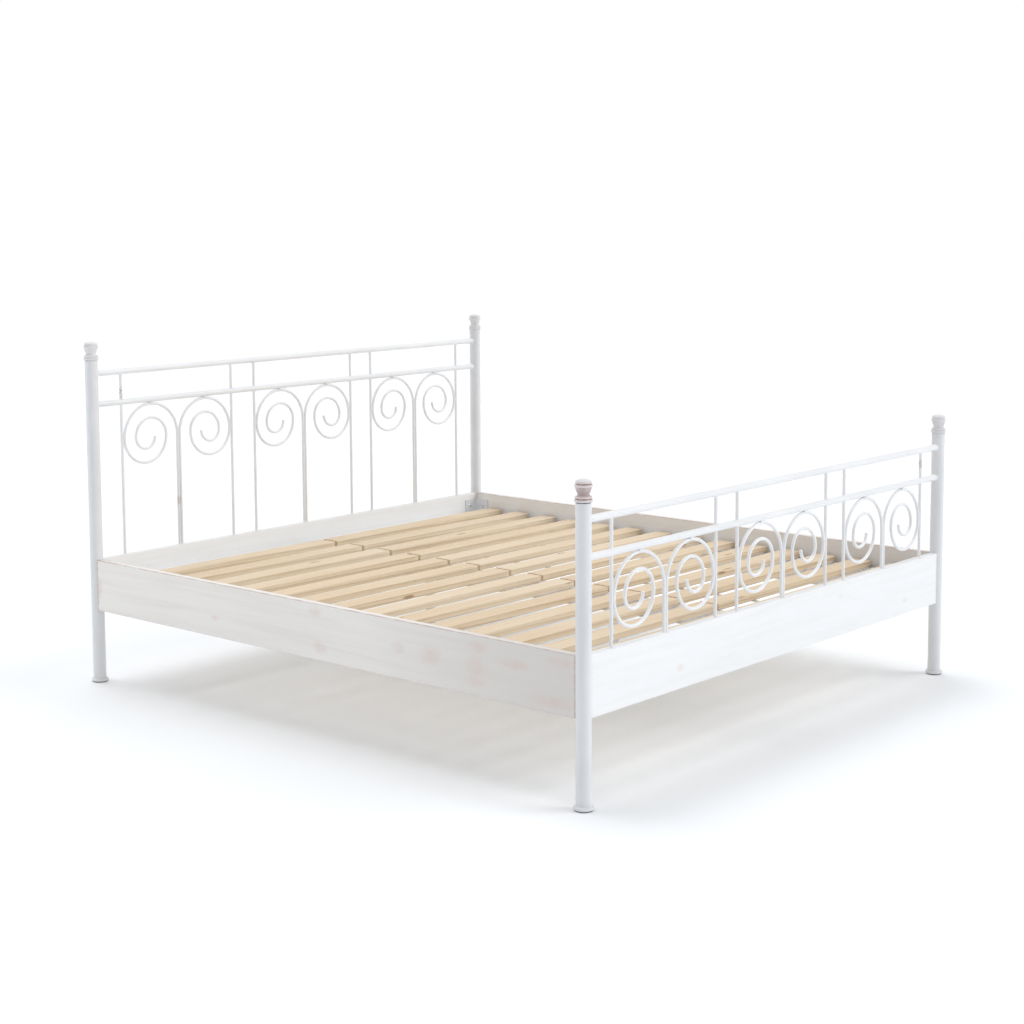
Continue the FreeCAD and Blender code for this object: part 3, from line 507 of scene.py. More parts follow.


def board_wood(name, along, across, half, axis, knots, pale, deep, rub):
    """Whitewashed softwood: streaks along the board, faint knots, and arrises rubbed to reddish brown.

    The board runs along one axis for half its length each way, and its middle is at axis on the other.
    """
    material, tree = new_material(name)
    place = place_in_frame(tree)
    grain = attribute(tree, "grain", "Vector")
    long_grain = noise(tree, grain, (1.7, 55.0, 42.0), detail=7.0, roughness=0.62,
                       distortion=0.5)
    fibre = noise(tree, grain, (9.0, 700.0, 620.0), detail=3.0)
    wash = noise(tree, grain, (3.0, 8.0, 8.0), detail=4.0)
    tone = ramp(tree, long_grain, [(0.30, deep), (0.56, pale), (0.8, pale)])
    tone = mix(tree, between(tree, wash, 0.45, 0.72, 0.0, 0.45), tone, [c * 1.03 for c in pale])
    tone = mix(tree, between(tree, fibre, 0.55, 0.75, 0.0, 0.22), tone, [c * 0.93 for c in deep])
    # On the side boards only: painted shade, growing darker towards the foot end.
    if along == "Y":
        lengthways = coordinate(tree, place, "Y")
        foot_end_shade = between(tree, lengthways, SIDE_SHADE_FROM, -half, 0.0, 0.75)
        tone = mix(tree, foot_end_shade, tone, (0.640, 0.612, 0.588))
    stain = None
    for centre, size in knots:
        uneven = between(tree, noise(tree, place, 38.0, detail=3.0), 0.3, 0.62, 0.4, 1.0)
        here = maths(tree, "MULTIPLY", spot(tree, place, centre, size), uneven)
        stain = here if stain is None else maths(tree, "MAXIMUM", stain, here)
    if stain is not None:
        tone = mix(tree, maths(tree, "MULTIPLY", stain, 0.30), tone, (0.68, 0.47, 0.41))
    height = coordinate(tree, place, "Z")
    broken = between(tree, noise(tree, grain, (26.0, 90.0, 90.0), detail=5.0),
                     0.30, 0.62, 0.25, 1.0)
    top_edge = between(tree, height, BOARD_TOP - RUBBED_BAND, BOARD_TOP - 1.0 * MM)
    low_edge = between(tree, height, BOARD_BOTTOM + 0.6 * MM, BOARD_BOTTOM + 3.0 * MM, 0.6, 0.0)
    off_axis = maths(tree, "ABSOLUTE", coordinate(tree, place, across))
    off_axis = maths(tree, "ABSOLUTE", maths(tree, "SUBTRACT", off_axis, axis))
    face = BOARD_THICKNESS / 2
    arris = between(tree, off_axis, face - 4.5 * MM, face - 1.5 * MM, 0.12, 1.0)
    long_edge = maths(tree, "MULTIPLY", maths(tree, "MAXIMUM", top_edge, low_edge), arris)
    far = maths(tree, "ABSOLUTE", coordinate(tree, place, along))
    end = half - POST_RADIUS
    end_edge = between(tree, far, end - 3.0 * MM, end + 1.5 * MM, 0.0, 0.9)
    edge = maths(tree, "MAXIMUM", long_edge, end_edge)
    edge = maths(tree, "MULTIPLY", edge, broken)
    tone = mix(tree, maths(tree, "MULTIPLY", edge, rub), tone, (0.46, 0.27, 0.22))
    relief = bump(tree, fibre, 0.00006)
    relief = bump(tree, long_grain, 0.0003, under=relief)
    return attach(material, Base_Color=tone, Roughness=between(tree, long_grain, 0.3, 0.7, 0.62, 0.48),
                  Normal=relief, Specular_IOR_Level=0.35)


FINIAL_RISE = 62 * MM
PAINTED = (0.74, 0.73, 0.745)
FINIAL_TONES_AND_GAP_SHADE = [  # height above the tube in mm, and its rubbed tone; the near-black band up to 2.2 mm is painted shade in the gap at the finial's foot
    (0.0, (0.09, 0.085, 0.09)), (2.2, (0.09, 0.085, 0.09)), (3.0, (0.72, 0.66, 0.66)),
    (8.6, (0.72, 0.64, 0.64)), (9.6, (0.34, 0.23, 0.21)), (11.8, (0.34, 0.23, 0.21)),
    (12.8, (0.73, 0.65, 0.64)), (17.0, (0.68, 0.57, 0.56)), (19.5, (0.47, 0.37, 0.36)),
    (26.0, (0.46, 0.36, 0.355)), (33.0, (0.49, 0.40, 0.395)), (41.0, (0.53, 0.44, 0.43)),
    (42.0, (0.74, 0.68, 0.67)), (46.4, (0.73, 0.66, 0.65)), (47.6, (0.40, 0.28, 0.26)),
    (50.0, (0.42, 0.30, 0.28)), (52.0, (0.70, 0.66, 0.67)), (62.0, (0.70, 0.70, 0.73)),
]


def finial_wood():
    """Turned and whitewashed wood. Where the mark wear is high its grooves and waist are rubbed brown."""
    material, tree = new_material("whitewashed_finial_wood")
    grain = attribute(tree, "grain", "Vector")
    rise = maths(tree, "DIVIDE", attribute(tree, "rise"), FINIAL_RISE)
    # The lowest band of this ramp is painted shade in the gap over the tube; the brown bands above are
    # rubbed patina.
    rubbed = ramp(tree, rise, [(height * MM / FINIAL_RISE, tone) for height, tone in FINIAL_TONES_AND_GAP_SHADE])
    fibre = noise(tree, grain, (60.0, 520.0, 520.0), detail=5.0, roughness=0.6)
    blotch = noise(tree, grain, (55.0, 90.0, 90.0), detail=4.0)
    tone = mix(tree, between(tree, fibre, 0.55, 0.75, 0.0, 0.25), rubbed, (0.42, 0.33, 0.31))
    left_on = between(tree, blotch, 0.42, 0.66, 0.0, 0.35)
    bare = maths(tree, "SUBTRACT", attribute(tree, "wear"), left_on)
    tone = mix(tree, between(tree, bare, 0.0, 0.9, smooth=False), PAINTED, tone)
    return attach(material, Base_Color=tone, Roughness=between(tree, fibre, 0.3, 0.7, 0.5, 0.66),
                  Normal=bump(tree, fibre, 0.00015), Specular_IOR_Level=0.35)


def slat_pine():
    """Planed pine with growth rings, darker latewood lines and small knots."""
    material, tree = new_material("slat_pine")
    grain = attribute(tree, "grain", "Vector")
    swerve = noise(tree, grain, (1.6, 14.0, 14.0), detail=3.0)
    rings = add(tree, "TexWave", {"Vector": scaled(tree, grain, (0.5, 52.0, 40.0)), "Scale": 1.0,
                                  "Distortion": maths(tree, "MULTIPLY", swerve, 9.0), "Detail": 2.0,
                                  "Detail Scale": 1.2},
                output="Fac", wave_type="BANDS", bands_direction="DIAGONAL", wave_profile="SAW")
    fibre = noise(tree, grain, (12.0, 800.0, 800.0), detail=3.0)
    tone = ramp(tree, rings, [(0.0, (0.76, 0.63, 0.46)), (0.62, (0.70, 0.55, 0.38)),
                              (0.93, (0.58, 0.42, 0.27)), (1.0, (0.72, 0.58, 0.41))])
    sapwood = noise(tree, grain, (0.9, 5.0, 5.0), detail=2.0)
    tone = mix(tree, between(tree, sapwood, 0.35, 0.7, 0.0, 0.5), tone, (0.80, 0.70, 0.55))
    tone = mix(tree, between(tree, fibre, 0.5, 0.75, 0.0, 0.25), tone, (0.55, 0.38, 0.22))
    cells = add(tree, "TexVoronoi", {"Vector": scaled(tree, grain, (3.2, 16.0, 16.0)), "Scale": 1.0,
                                     "Randomness": 1.0}, output="Distance")
    knot = between(tree, cells, 0.05, 0.11, 0.85, 0.0)
    tone = mix(tree, knot, tone, (0.34, 0.19, 0.10))
    relief = bump(tree, rings, 0.00001, under=bump(tree, fibre, 0.00003))
    return attach(material, Base_Color=tone, Roughness=between(tree, fibre, 0.3, 0.7, 0.5, 0.64),
                  Normal=relief, Specular_IOR_Level=0.35)


def woven_webbing():
    """Narrow woven polyester: ribs both ways in a fine weave, and faint soiling."""
    material, tree = new_material("webbing")
    place = place_in_frame(tree)
    warp = add(tree, "TexWave", {"Vector": place, "Scale": 190.0, "Distortion": 0.6}, output="Fac",
               wave_type="BANDS", bands_direction="X")
    weft = add(tree, "TexWave", {"Vector": place, "Scale": 130.0, "Distortion": 0.8}, output="Fac",
               wave_type="BANDS", bands_direction="Y")
    weave = maths(tree, "MULTIPLY", warp, weft)
    tone = ramp(tree, weave, [(0.0, (0.47, 0.45, 0.41)), (0.6, (0.74, 0.72, 0.67))])
    soil = noise(tree, place, 14.0, detail=3.0)
    tone = mix(tree, between(tree, soil, 0.4, 0.7, 0.0, 0.2), tone, (0.55, 0.52, 0.47))
    return attach(material, Base_Color=tone, Roughness=between(tree, soil, 0.3, 0.7, 0.75, 0.9),
                  Normal=bump(tree, weave, 0.0004), Sheen_Weight=0.25, Specular_IOR_Level=0.25)


def grey_felt():
    material, tree = new_material("felt")
    place = place_in_frame(tree)
    lying = scaled(tree, place, (1.0, 1.0, 2.2))
    fibres = noise(tree, lying, 520.0, detail=8.0, roughness=0.75, distortion=1.5)
    flecks = noise(tree, place, 160.0, detail=3.0)
    tone = ramp(tree, fibres, [(0.3, (0.13, 0.125, 0.12)), (0.7, (0.27, 0.26, 0.25))])
    tone = mix(tree, between(tree, flecks, 0.5, 0.7, 0.0, 0.4), tone, (0.34, 0.33, 0.32))
    return attach(material, Base_Color=tone, Roughness=between(tree, fibres, 0.3, 0.7, 0.85, 1.0),
                  Normal=bump(tree, fibres, 0.0006), Sheen_Weight=0.35, Specular_IOR_Level=0.2)


def black_plastic():
    """Moulded plastic with a fine grain and slight scuffing."""
    material, tree = new_material("black_plastic")
    place = place_in_frame(tree)
    texture = noise(tree, place, 1500.0, detail=2.0)
    scuff = noise(tree, place, 90.0, detail=6.0, roughness=0.7)
    tone = ramp(tree, scuff, [(0.4, (0.018, 0.018, 0.019)), (0.75, (0.05, 0.05, 0.052))])
    return attach(material, Base_Color=tone, Roughness=between(tree, scuff, 0.3, 0.75, 0.38, 0.62),
                  Normal=bump(tree, texture, 0.00005))


def zinc_plate():
    """Bright zinc on fasteners: fine turning marks and a bluish to straw tint."""
    material, tree = new_material("zinc_plated_steel")
    place = place_in_frame(tree)
    tint = noise(tree, place, 120.0, detail=3.0)
    scratch = noise(tree, scaled(tree, place, (1.0, 1.0, 6.0)), 700.0, detail=4.0)
    tone = ramp(tree, tint, [(0.3, (0.62, 0.65, 0.70)), (0.7, (0.74, 0.72, 0.66))])
    return attach(material, Base_Color=tone, Metallic=1.0, Normal=bump(tree, scratch, 0.00002),
                  Roughness=between(tree, scratch, 0.3, 0.7, 0.24, 0.42))


def galvanised_sheet():
    """Hot-dip galvanised steel with its spangle."""
    material, tree = new_material("galvanised_steel")
    place = place_in_frame(tree)
    crystals = add(tree, "TexVoronoi", {"Vector": place, "Scale": 110.0}, output="Color")
    shade = add(tree, "SeparateColor", {0: crystals}, output=0)
    frost = noise(tree, place, 320.0, detail=4.0)
    tone = ramp(tree, shade, [(0.0, (0.46, 0.48, 0.50)), (1.0, (0.66, 0.68, 0.70))])
    tone = mix(tree, between(tree, frost, 0.45, 0.75, 0.0, 0.3), tone, (0.74, 0.75, 0.76))
    return attach(material, Base_Color=tone, Metallic=0.9,
                  Roughness=between(tree, shade, 0.0, 1.0, 0.34, 0.56), Normal=bump(tree, frost, 0.00003))


def pale_floor():
    material, tree = new_material("pale_floor")
    place = place_in_frame(tree)
    tone = ramp(tree, noise(tree, place, 2.0, detail=3.0), [(0.3, (0.895, 0.918, 0.945)),
                                                            (0.7, (0.905, 0.928, 0.955))])
    return attach(material, Base_Color=tone, Roughness=0.9, Specular_IOR_Level=0.1)


# each is a slot and its material
COAT = ("white_powder_coat",
        powder_coat("white_powder_coat", (0.712, 0.724, 0.745), (0.760, 0.768, 0.786)))
# The same white coat painted paler on rails, rods and scrolls: a lit copy whose extra paleness is painted
# light for the light the thin bars catch.
LIT_BAR_COAT = ("white_powder_coat",
             powder_coat("white_powder_coat_painted_lighter_on_bars", (0.780, 0.790, 0.806), (0.826, 0.833, 0.845)))
FINIAL_WOOD = ("whitewashed_finial_wood", finial_wood())
PINE = ("slat_pine", slat_pine())
WEBBING = ("webbing", woven_webbing())
FELT = ("felt", grey_felt())
PLASTIC = ("black_plastic", black_plastic())
ZINC = ("zinc_plated_steel", zinc_plate())
GALVANISED = ("galvanised_steel", galvanised_sheet())

# ---------------- posts, feet, finials and felt

POST_WALL = 2 * MM
POST_SIDES = 72  # facets round posts, feet, finials and felt
FELT_RADIUS = span_of("foot_left_post_foot").x / 2 - 2.5 * MM
FELT_ARRIS = 0.6 * MM
FELT_OUTLINE = [
    (FELT_RADIUS - FELT_ARRIS, 0.0), (FELT_RADIUS, FELT_ARRIS), (FELT_RADIUS, FELT_RISE - FELT_ARRIS),
    (FELT_RADIUS - FELT_ARRIS, FELT_RISE),
]
FINIAL_OUTLINE = in_millimetres(  # radius, height above the tube, and arc radius
    (18.2, -22.0), (18.9, -21.3), (18.9, 0.0), (19.6, 0.0), (19.6, 2.0), (23.0, 2.6),
    (23.0, 9.0, 4.0), (21.2, 9.6), (21.2, 11.4), (22.0, 12.0), (19.6, 17.8, 3.6),
    (17.0, 26.0, -5.2), (21.4, 41.6, 38.0), (22.8, 41.6), (22.8, 47.2, 3.5), (20.8, 48.0),
    (20.8, 49.6), (21.6, 50.2), (19.0, 57.6, 6.0), (2.0, 62.0, 36.0),
)
FOOT_OUTLINE = in_millimetres(  # radius and height above the felt
    (25.0, 0.0), (27.5, 2.5, 2.5), (27.5, 5.5), (25.0, 8.0, 2.5), (22.0, 11.0, -3.0), (22.0, 11.7),
    (21.7, 12.0, 0.3), (18.9, 12.0), (18.9, 33.4), (18.3, 34.0),
)
SOFT_ARRIS = 0.4 * MM


def post_profile(rise):
    """Closed section of a post's tube, its arrises just broken."""
    inner = POST_RADIUS - POST_WALL
    return [
        (inner, 0.0), (POST_RADIUS - SOFT_ARRIS, 0.0), (POST_RADIUS, SOFT_ARRIS),
        (POST_RADIUS, rise - SOFT_ARRIS), (POST_RADIUS - SOFT_ARRIS, rise), (inner, rise),
    ]


FINIAL_WEAR = {"foot_left": 1.0, "foot_right": 0.30, "head_left": 0.22, "head_right": 0.34}
SHELTERED_WEAR = 0.3  # share of the wear left on the bed's own side


def wear_outwards(finial, axis, corner, most):
    """Mark a finial with its wear: most on the side that faces out of its corner of the bed."""
    points, faces, marks = finial
    spokes = points[:, :2] - axis
    outward = (spokes * corner).sum(axis=1) / np.hypot(*spokes.T) / math.sqrt(2)
    facing = np.clip(1.3 * outward + 0.1, 0, 1)
    marks["wear"] = most * (SHELTERED_WEAR + (1 - SHELTERED_WEAR) * facing)


pads = []
for end, end_name in ENDS.items():
    for side, side_name in SIDES.items():
        corner = f"{end_name}_{side_name}"
        low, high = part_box(corner + "_post")
        x, y = side * POST_X, end * POST_Y
        seed = 3 + end + side / 2
        post = turned(post_profile(high.z - low.z), (x, y, low.z), sides=POST_SIDES, loop=True)
        finish(corner + "_post", [post], COAT)
        foot = turned(FOOT_OUTLINE, (x, y, FELT_RISE), sides=POST_SIDES)
        finish(corner + "_post_foot", [foot], COAT)
        finial = grained(turned(FINIAL_OUTLINE, (x, y, high.z), sides=POST_SIDES), 2, seed)
        wear_outwards(finial, (x, y), (side, end), FINIAL_WEAR[corner])
        finish(corner + "_finial", [finial], FINIAL_WOOD)
        pads.append(turned(FELT_OUTLINE, (x, y, 0.0), sides=POST_SIDES))
finish("felt_pads", pads, FELT)

# ---------------- rails, rods and scrolls

WELD_GAP = 0.1 * MM
SCROLL_RADIUS = 110 * MM
SCROLL_STEP = 23.5 * MM
SCROLL_TURNS = 4  # half turns
STEM_REACH = ROD_RADIUS + WELD_GAP / 2
SCROLL_END_ROUND = 1.6 * MM
RAIL_WELD = 3.6 * MM
ROD_WELD = 2.4 * MM
CROWN_BEAD_LENGTH = 17 * MM  # where a scroll's top touches the lower rail
CROWN_BEAD_RADIUS = 3.0 * MM
CROWN_BEAD_OFFSET = 5.2 * MM  # out of the panel's plane
CROWN_BEAD_DROP = 10.9 * MM  # below the rail's axis
TOUCH_BEAD_LENGTH = 14 * MM  # where a scroll touches a rod
TOUCH_BEAD_RADIUS = 2.2 * MM
TOUCH_BEAD_OFFSET = 3.9 * MM


def rod_places(node):
    low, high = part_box(node)
    return [low.x + ROD_RADIUS, high.x - ROD_RADIUS]


def sill_weld(x, line):
    """Where a rod or a scroll's stem stands on the sill bar."""
    return fillet((x, line, BOARD_TOP), (0, 0, 1), (1, 0, 0), ROD_RADIUS, None, ROD_WELD)


def scroll_path(middle, way, line, spring):
    """Stem and spiral of half turns about two centres on the level called spring."""
    path = [(middle + way * STEM_REACH, line, BOARD_TOP), (middle + way * STEM_REACH, line, spring - 2 * MM)]
    reach = STEM_REACH
    for turn in range(SCROLL_TURNS):
        radius = SCROLL_RADIUS - turn * SCROLL_STEP
        out = 1 if turn % 2 == 0 else -1
        centre = reach + out * radius
        steps = 26
        for i in range(1 if turn else 0, steps + 1):
            angle = math.pi * i / steps
            path.append((middle + way * (centre - out * radius * math.cos(angle)), line,
                         spring + out * radius * math.sin(angle)))
        reach += out * 2 * radius
    return path


for end, end_name in ENDS.items():
    line = end * POST_Y
    lower = middle_of(f"{end_name}_lower_rail").z
    upper = middle_of(f"{end_name}_upper_rail").z
    spring = lower - RAIL_RADIUS - WELD_GAP - ROD_RADIUS - SCROLL_RADIUS
    for name, height in (("upper", upper), ("lower", lower)):
        shapes = [member(0, line, height, circle(RAIL_RADIUS, 48), POST_RADIUS)]
        for side in SIDES:
            shapes.append(fillet((side * POST_X, line, height), (-side, 0, 0), (0, 0, 1),
                                 RAIL_RADIUS, POST_RADIUS, RAIL_WELD))
        for panel in PANELS:
            for x in rod_places(f"{end_name}_{panel}_panel_rods"):
                for way in ((-1,) if name == "upper" else (-1, 1)):
                    shapes.append(fillet((x, line, height), (0, 0, way), (1, 0, 0),
                                         ROD_RADIUS, RAIL_RADIUS, ROD_WELD))
        finish(f"{end_name}_{name}_rail", shapes, LIT_BAR_COAT)
    for panel in PANELS:
        node = f"{end_name}_{panel}_panel_rods"
        middle = middle_of(node).x
        rods = []
        for x in rod_places(node):
            rods.append(turned([(ROD_RADIUS, 0.0), (ROD_RADIUS, upper - BOARD_TOP)], (x, line, BOARD_TOP),
                               sides=32))
            rods.append(sill_weld(x, line))
        finish(node, rods, LIT_BAR_COAT)
        for side, side_name in SIDES.items():
            path = scroll_path(middle, side, line, spring)
            stem = middle + side * STEM_REACH
            shapes = [swept(path, circle(ROD_RADIUS, 28), (0, 1, 0), edge=SCROLL_END_ROUND),
                      sill_weld(stem, line)]
            crown = stem + side * SCROLL_RADIUS
            touch = stem + side * (2 * SCROLL_RADIUS + ROD_RADIUS)
            for face in (-1, 1):
                shapes.append(bead((crown, line + face * CROWN_BEAD_OFFSET, lower - CROWN_BEAD_DROP),
                                   (1, 0, 0), CROWN_BEAD_LENGTH, CROWN_BEAD_RADIUS))
                shapes.append(bead((touch, line + face * TOUCH_BEAD_OFFSET, spring),
                                   (0, 0, 1), TOUCH_BEAD_LENGTH, TOUCH_BEAD_RADIUS))
            finish(f"{end_name}_{panel}_panel_{side_name}_scroll", shapes, LIT_BAR_COAT)

# ---------------- boards and sill bars

SCRIBE_RADIUS = 21.2 * MM
ARRIS = 1.5 * MM
SILL_WIDTH = 16 * MM
SILL_RISE = 5 * MM
KNOT_DEPTH = 30 * MM
LEFT_BOARD_KNOTS = [  # place along the board, height, length and height
    (-0.05, 0.280, 0.040, 0.028), (-0.03, 0.385, 0.040, 0.022), (1.00, 0.313, 0.028, 0.060),
    (-0.37, 0.330, 0.036, 0.024), (-0.49, 0.325, 0.060, 0.040), (-0.67, 0.376, 0.055, 0.026),
    (-0.665, 0.322, 0.060, 0.044), (-0.66, 0.282, 0.050, 0.024), (-0.96, 0.380, 0.060, 0.020),
    (-0.93, 0.270, 0.110, 0.026), (-0.80, 0.350, 0.080, 0.020), (0.42, 0.300, 0.024, 0.014),
]
RIGHT_BOARD_KNOTS = [
    (-0.71, 0.350, 0.028, 0.018), (-0.22, 0.290, 0.034, 0.022), (0.35, 0.372, 0.024, 0.014),
    (0.78, 0.300, 0.036, 0.024),
]
END_BOARD_KNOTS = [(-0.52, 0.300, 0.024, 0.014), (0.31, 0.362, 0.022, 0.012), (0.70, 0.285, 0.020, 0.012)]


def knots_on(face, along, knots):
    """Spots on a board's outer face, for boards along X (0) or Y (1)."""
    spots = []
    for distance, height, length, tall in knots:
        centre = (distance, face, height) if along == 0 else (face, distance, height)
        size = (length, KNOT_DEPTH, tall) if along == 0 else (KNOT_DEPTH, length, tall)
        spots.append((centre, size))
    return spots


# One whitewash in two copies: the side boards' warmer, darker tones are painted shade, and the end boards'
# cooler, paler tones are painted light.
SHADED_SIDE_PALE = (0.845, 0.824, 0.800)
SHADED_SIDE_DEEP = (0.790, 0.762, 0.728)
LIT_END_PALE = (0.860, 0.868, 0.878)
LIT_END_DEEP = (0.825, 0.828, 0.830)
SIDE_RUB = 0.62  # how far the arrises are rubbed down
END_RUB = 0.14


def board_section(grooved):
    half = BOARD_THICKNESS / 2
    corners = [(-half, 0.0, ARRIS), (half, 0.0, ARRIS), (half, BOARD_DEPTH, ARRIS)]
    if grooved:
        floor = BOARD_DEPTH - SILL_RISE
        groove = SILL_WIDTH / 2
        corners += [(groove, BOARD_DEPTH, 0.3 * MM), (groove, floor, 0.2 * MM), (-groove, floor, 0.2 * MM),
                    (-groove, BOARD_DEPTH, 0.3 * MM)]
    return softened(corners + [(-half, BOARD_DEPTH, ARRIS)])


for side, side_name in SIDES.items():
    x = side * POST_X
    node = f"{side_name}_side_board"
    board = grained(member(1, x, BOARD_BOTTOM, board_section(False), SCRIBE_RADIUS), 1, 11 + side)
    knots = knots_on(x + side * BOARD_THICKNESS / 2, 1,
                     LEFT_BOARD_KNOTS if side == LEFT else RIGHT_BOARD_KNOTS)
    wood = board_wood(f"{node}_wood", "Y", "X", POST_Y, POST_X, knots, SHADED_SIDE_PALE, SHADED_SIDE_DEEP, SIDE_RUB)
    finish(node, [board], ("whitewashed_board_wood", wood))
for end, end_name in ENDS.items():
    y = end * POST_Y
    node = f"{end_name}_board"
    board = grained(member(0, y, BOARD_BOTTOM, board_section(True), SCRIBE_RADIUS), 0, 17 + end)
    knots = knots_on(y + end * BOARD_THICKNESS / 2, 0, END_BOARD_KNOTS)
    wood = board_wood(f"{node}_wood", "X", "Y", POST_X, POST_Y, knots, LIT_END_PALE, LIT_END_DEEP, END_RUB)
    finish(node, [board], ("whitewashed_board_wood", wood))
    sill_section = rectangle(SILL_WIDTH - 2 * WELD_GAP, SILL_RISE, 0.5 * MM)
    sill = member(0, y, BOARD_TOP - SILL_RISE / 2, sill_section, POST_RADIUS)
    finish(f"{end_name}_sill_bar", [sill], COAT)

# ---------------- corner brackets, bolts and inserts

BRACKET_FACE = BOARD_THICKNESS / 2
BRACKET_BACK = BRACKET_FACE + 4 * MM
BRACKET_REACH = 76 * MM
BOLT_REACH = 55 * MM
BOLT_RISE = 35 * MM
bracket_low, bracket_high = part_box("corner_brackets")


def bracket_section():
    """Angle round the inside of a post, cut away along the post's round face."""
    start = math.acos(BRACKET_FACE / POST_RADIUS)
    stop = math.pi / 2 - start
    steps = 8
    cope = []
    for i in range(steps + 1):
        angle = start + (stop - start) * i / steps
        cope.append((POST_RADIUS * math.cos(angle), POST_RADIUS * math.sin(angle), 0))
    legs = [
        (BRACKET_REACH, BRACKET_FACE, 0.6 * MM), (BRACKET_REACH, BRACKET_BACK, 0.6 * MM),
        (BRACKET_BACK, BRACKET_BACK, 3.0 * MM), (BRACKET_BACK, BRACKET_REACH, 0.6 * MM),
        (BRACKET_FACE, BRACKET_REACH, 0.6 * MM),
    ]
    return softened(legs + cope)


FLANGE_BOLT = in_millimetres(  # up to the foot of the button
    (3.95, -6.0), (3.95, 0.0), (8.7, 0.0), (9.0, 0.3), (9.0, 0.6), (8.6, 1.0), (6.8, 1.45), (6.6, 1.7),
)
BUTTON_RADIUS, BUTTON_FOOT = FLANGE_BOLT[-1]
BUTTON_RISE = 5.1 * MM
SOCKET_MOUTH = 3.25 * MM
SOCKET_SIDES = [(reach * MM, height * MM, hexagonal)
                for reach, height in ((2.65, 5.05), (2.5, 4.8), (2.5, 2.7))]
SOCKET_POINT = (0.6 * MM, 2.3 * MM)


def flange_bolt(base, axis):
    """Button head on a flange, with a hexagonal socket. The base is the flange's underside."""
    profile = list(FLANGE_BOLT)
    for i in range(1, 8):
        angle = math.pi / 2 * i / 8
        profile.append((BUTTON_RADIUS * math.cos(angle * 0.75),
                        BUTTON_FOOT + (BUTTON_RISE - BUTTON_FOOT) * math.sin(angle)))
    profile.append((SOCKET_MOUTH, BUTTON_RISE))
    profile += SOCKET_SIDES
    profile.append(SOCKET_POINT)
    return turned(profile, base, axis, sides=48)


WOOD_SCREW = in_millimetres((2.2, -4.0), (2.2, 0.0), (4.35, 0.0), (4.5, 0.2))
HEAD_RADIUS, HEAD_RIM = WOOD_SCREW[-1]
HEAD_DOME = 2.2 * MM
CROSS_MOUTH = 1.65 * MM
CROSS_REACH = 1.55 * MM
CROSS_DEPTH = 1.4 * MM


def wood_screw(base, axis):
    """Pan head with a cross recess. The base is the head's underside."""
    profile = list(WOOD_SCREW)
    for i in range(1, 7):
        angle = math.pi / 2 * i / 8
        profile.append((HEAD_RADIUS * math.cos(angle), HEAD_RIM + HEAD_DOME * math.sin(angle)))
    top = profile[-1][1] + 0.1 * MM
    profile.append((CROSS_MOUTH, top + 0.05 * MM))
    profile.append((CROSS_REACH, top, crossed))
    profile.append((CROSS_REACH - 0.45 * MM, top - CROSS_DEPTH, crossed))
    return turned(profile, base, axis, sides=48)


brackets = []
bolts = []
for end in ENDS:
    for side in SIDES:
        x, y = side * POST_X, end * POST_Y
        section = [(a, -side * end * b) for a, b in bracket_section()]
        path = [(x, y, bracket_low.z), (x, y, bracket_high.z)]
        brackets.append(swept(path, section, (-side, 0, 0), edge=0.3 * MM))
        for rise in (-BOLT_RISE, BOLT_RISE):
            z = BOARD_MIDDLE + rise
            bolts.append(flange_bolt((x - side * BRACKET_BACK, y - end * BOLT_REACH, z), (-side, 0, 0)))
            bolts.append(flange_bolt((x - side * BOLT_REACH, y - end * BRACKET_BACK, z), (0, -end, 0)))
finish("corner_brackets", brackets, COAT)
finish("board_bolts", bolts, ZINC)
keep("board_inserts", ZINC)

# ---------------- ledgers and wood screws

LEDGER_LEG = 30 * MM
LEDGER_THICKNESS = 3 * MM
LEDGER_SCREWS = 6
LEDGER_SCREW_PITCH = 300 * MM
LEDGER_SCREW_DROP = 17 * MM
SADDLE_SCREW_REACH = 36 * MM
SADDLE_SCREW_RISE = 13 * MM
SADDLE_THICKNESS = 3 * MM

screws = []
for side, side_name in SIDES.items():
    low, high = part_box(f"{side_name}_ledger")
    corner_x = side * max(abs(low.x), abs(high.x))
    section = softened([
        (0.0, 0.0, 3.6 * MM), (0.0, -LEDGER_LEG, 0.8 * MM), (LEDGER_THICKNESS, -LEDGER_LEG, 0.8 * MM),
        (LEDGER_THICKNESS, -LEDGER_THICKNESS, 0.8 * MM), (LEDGER_LEG, -LEDGER_THICKNESS, 0.8 * MM),
        (LEDGER_LEG, 0.0, 0.8 * MM),
    ])
    section = [(-side * a, b) for a, b in section]
    bar = swept([(corner_x, low.y, high.z), (corner_x, high.y, high.z)], section, (1, 0, 0), edge=0.5 * MM)
    finish(f"{side_name}_ledger", [bar], GALVANISED)
    for i in range(LEDGER_SCREWS):
        y = (i - (LEDGER_SCREWS - 1) / 2) * LEDGER_SCREW_PITCH
        screws.append(wood_screw((corner_x - side * LEDGER_THICKNESS, y, high.z - LEDGER_SCREW_DROP),
                                 (-side, 0, 0)))
for end in ENDS:
    y = end * (POST_Y - BOARD_THICKNESS / 2 - SADDLE_THICKNESS)
    for x in (-SADDLE_SCREW_REACH, SADDLE_SCREW_REACH):
        for rise in (-SADDLE_SCREW_RISE, SADDLE_SCREW_RISE):
            screws.append(wood_screw((x, y, BEAM_MIDDLE + rise), (0, -end, 0)))
finish("wood_screws", screws, ZINC)

# ---------------- centre beam, legs and levelling feet

beam_low, beam_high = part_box("centre_beam")
beam_size = beam_high - beam_low
BEAM_WALL = 2 * MM


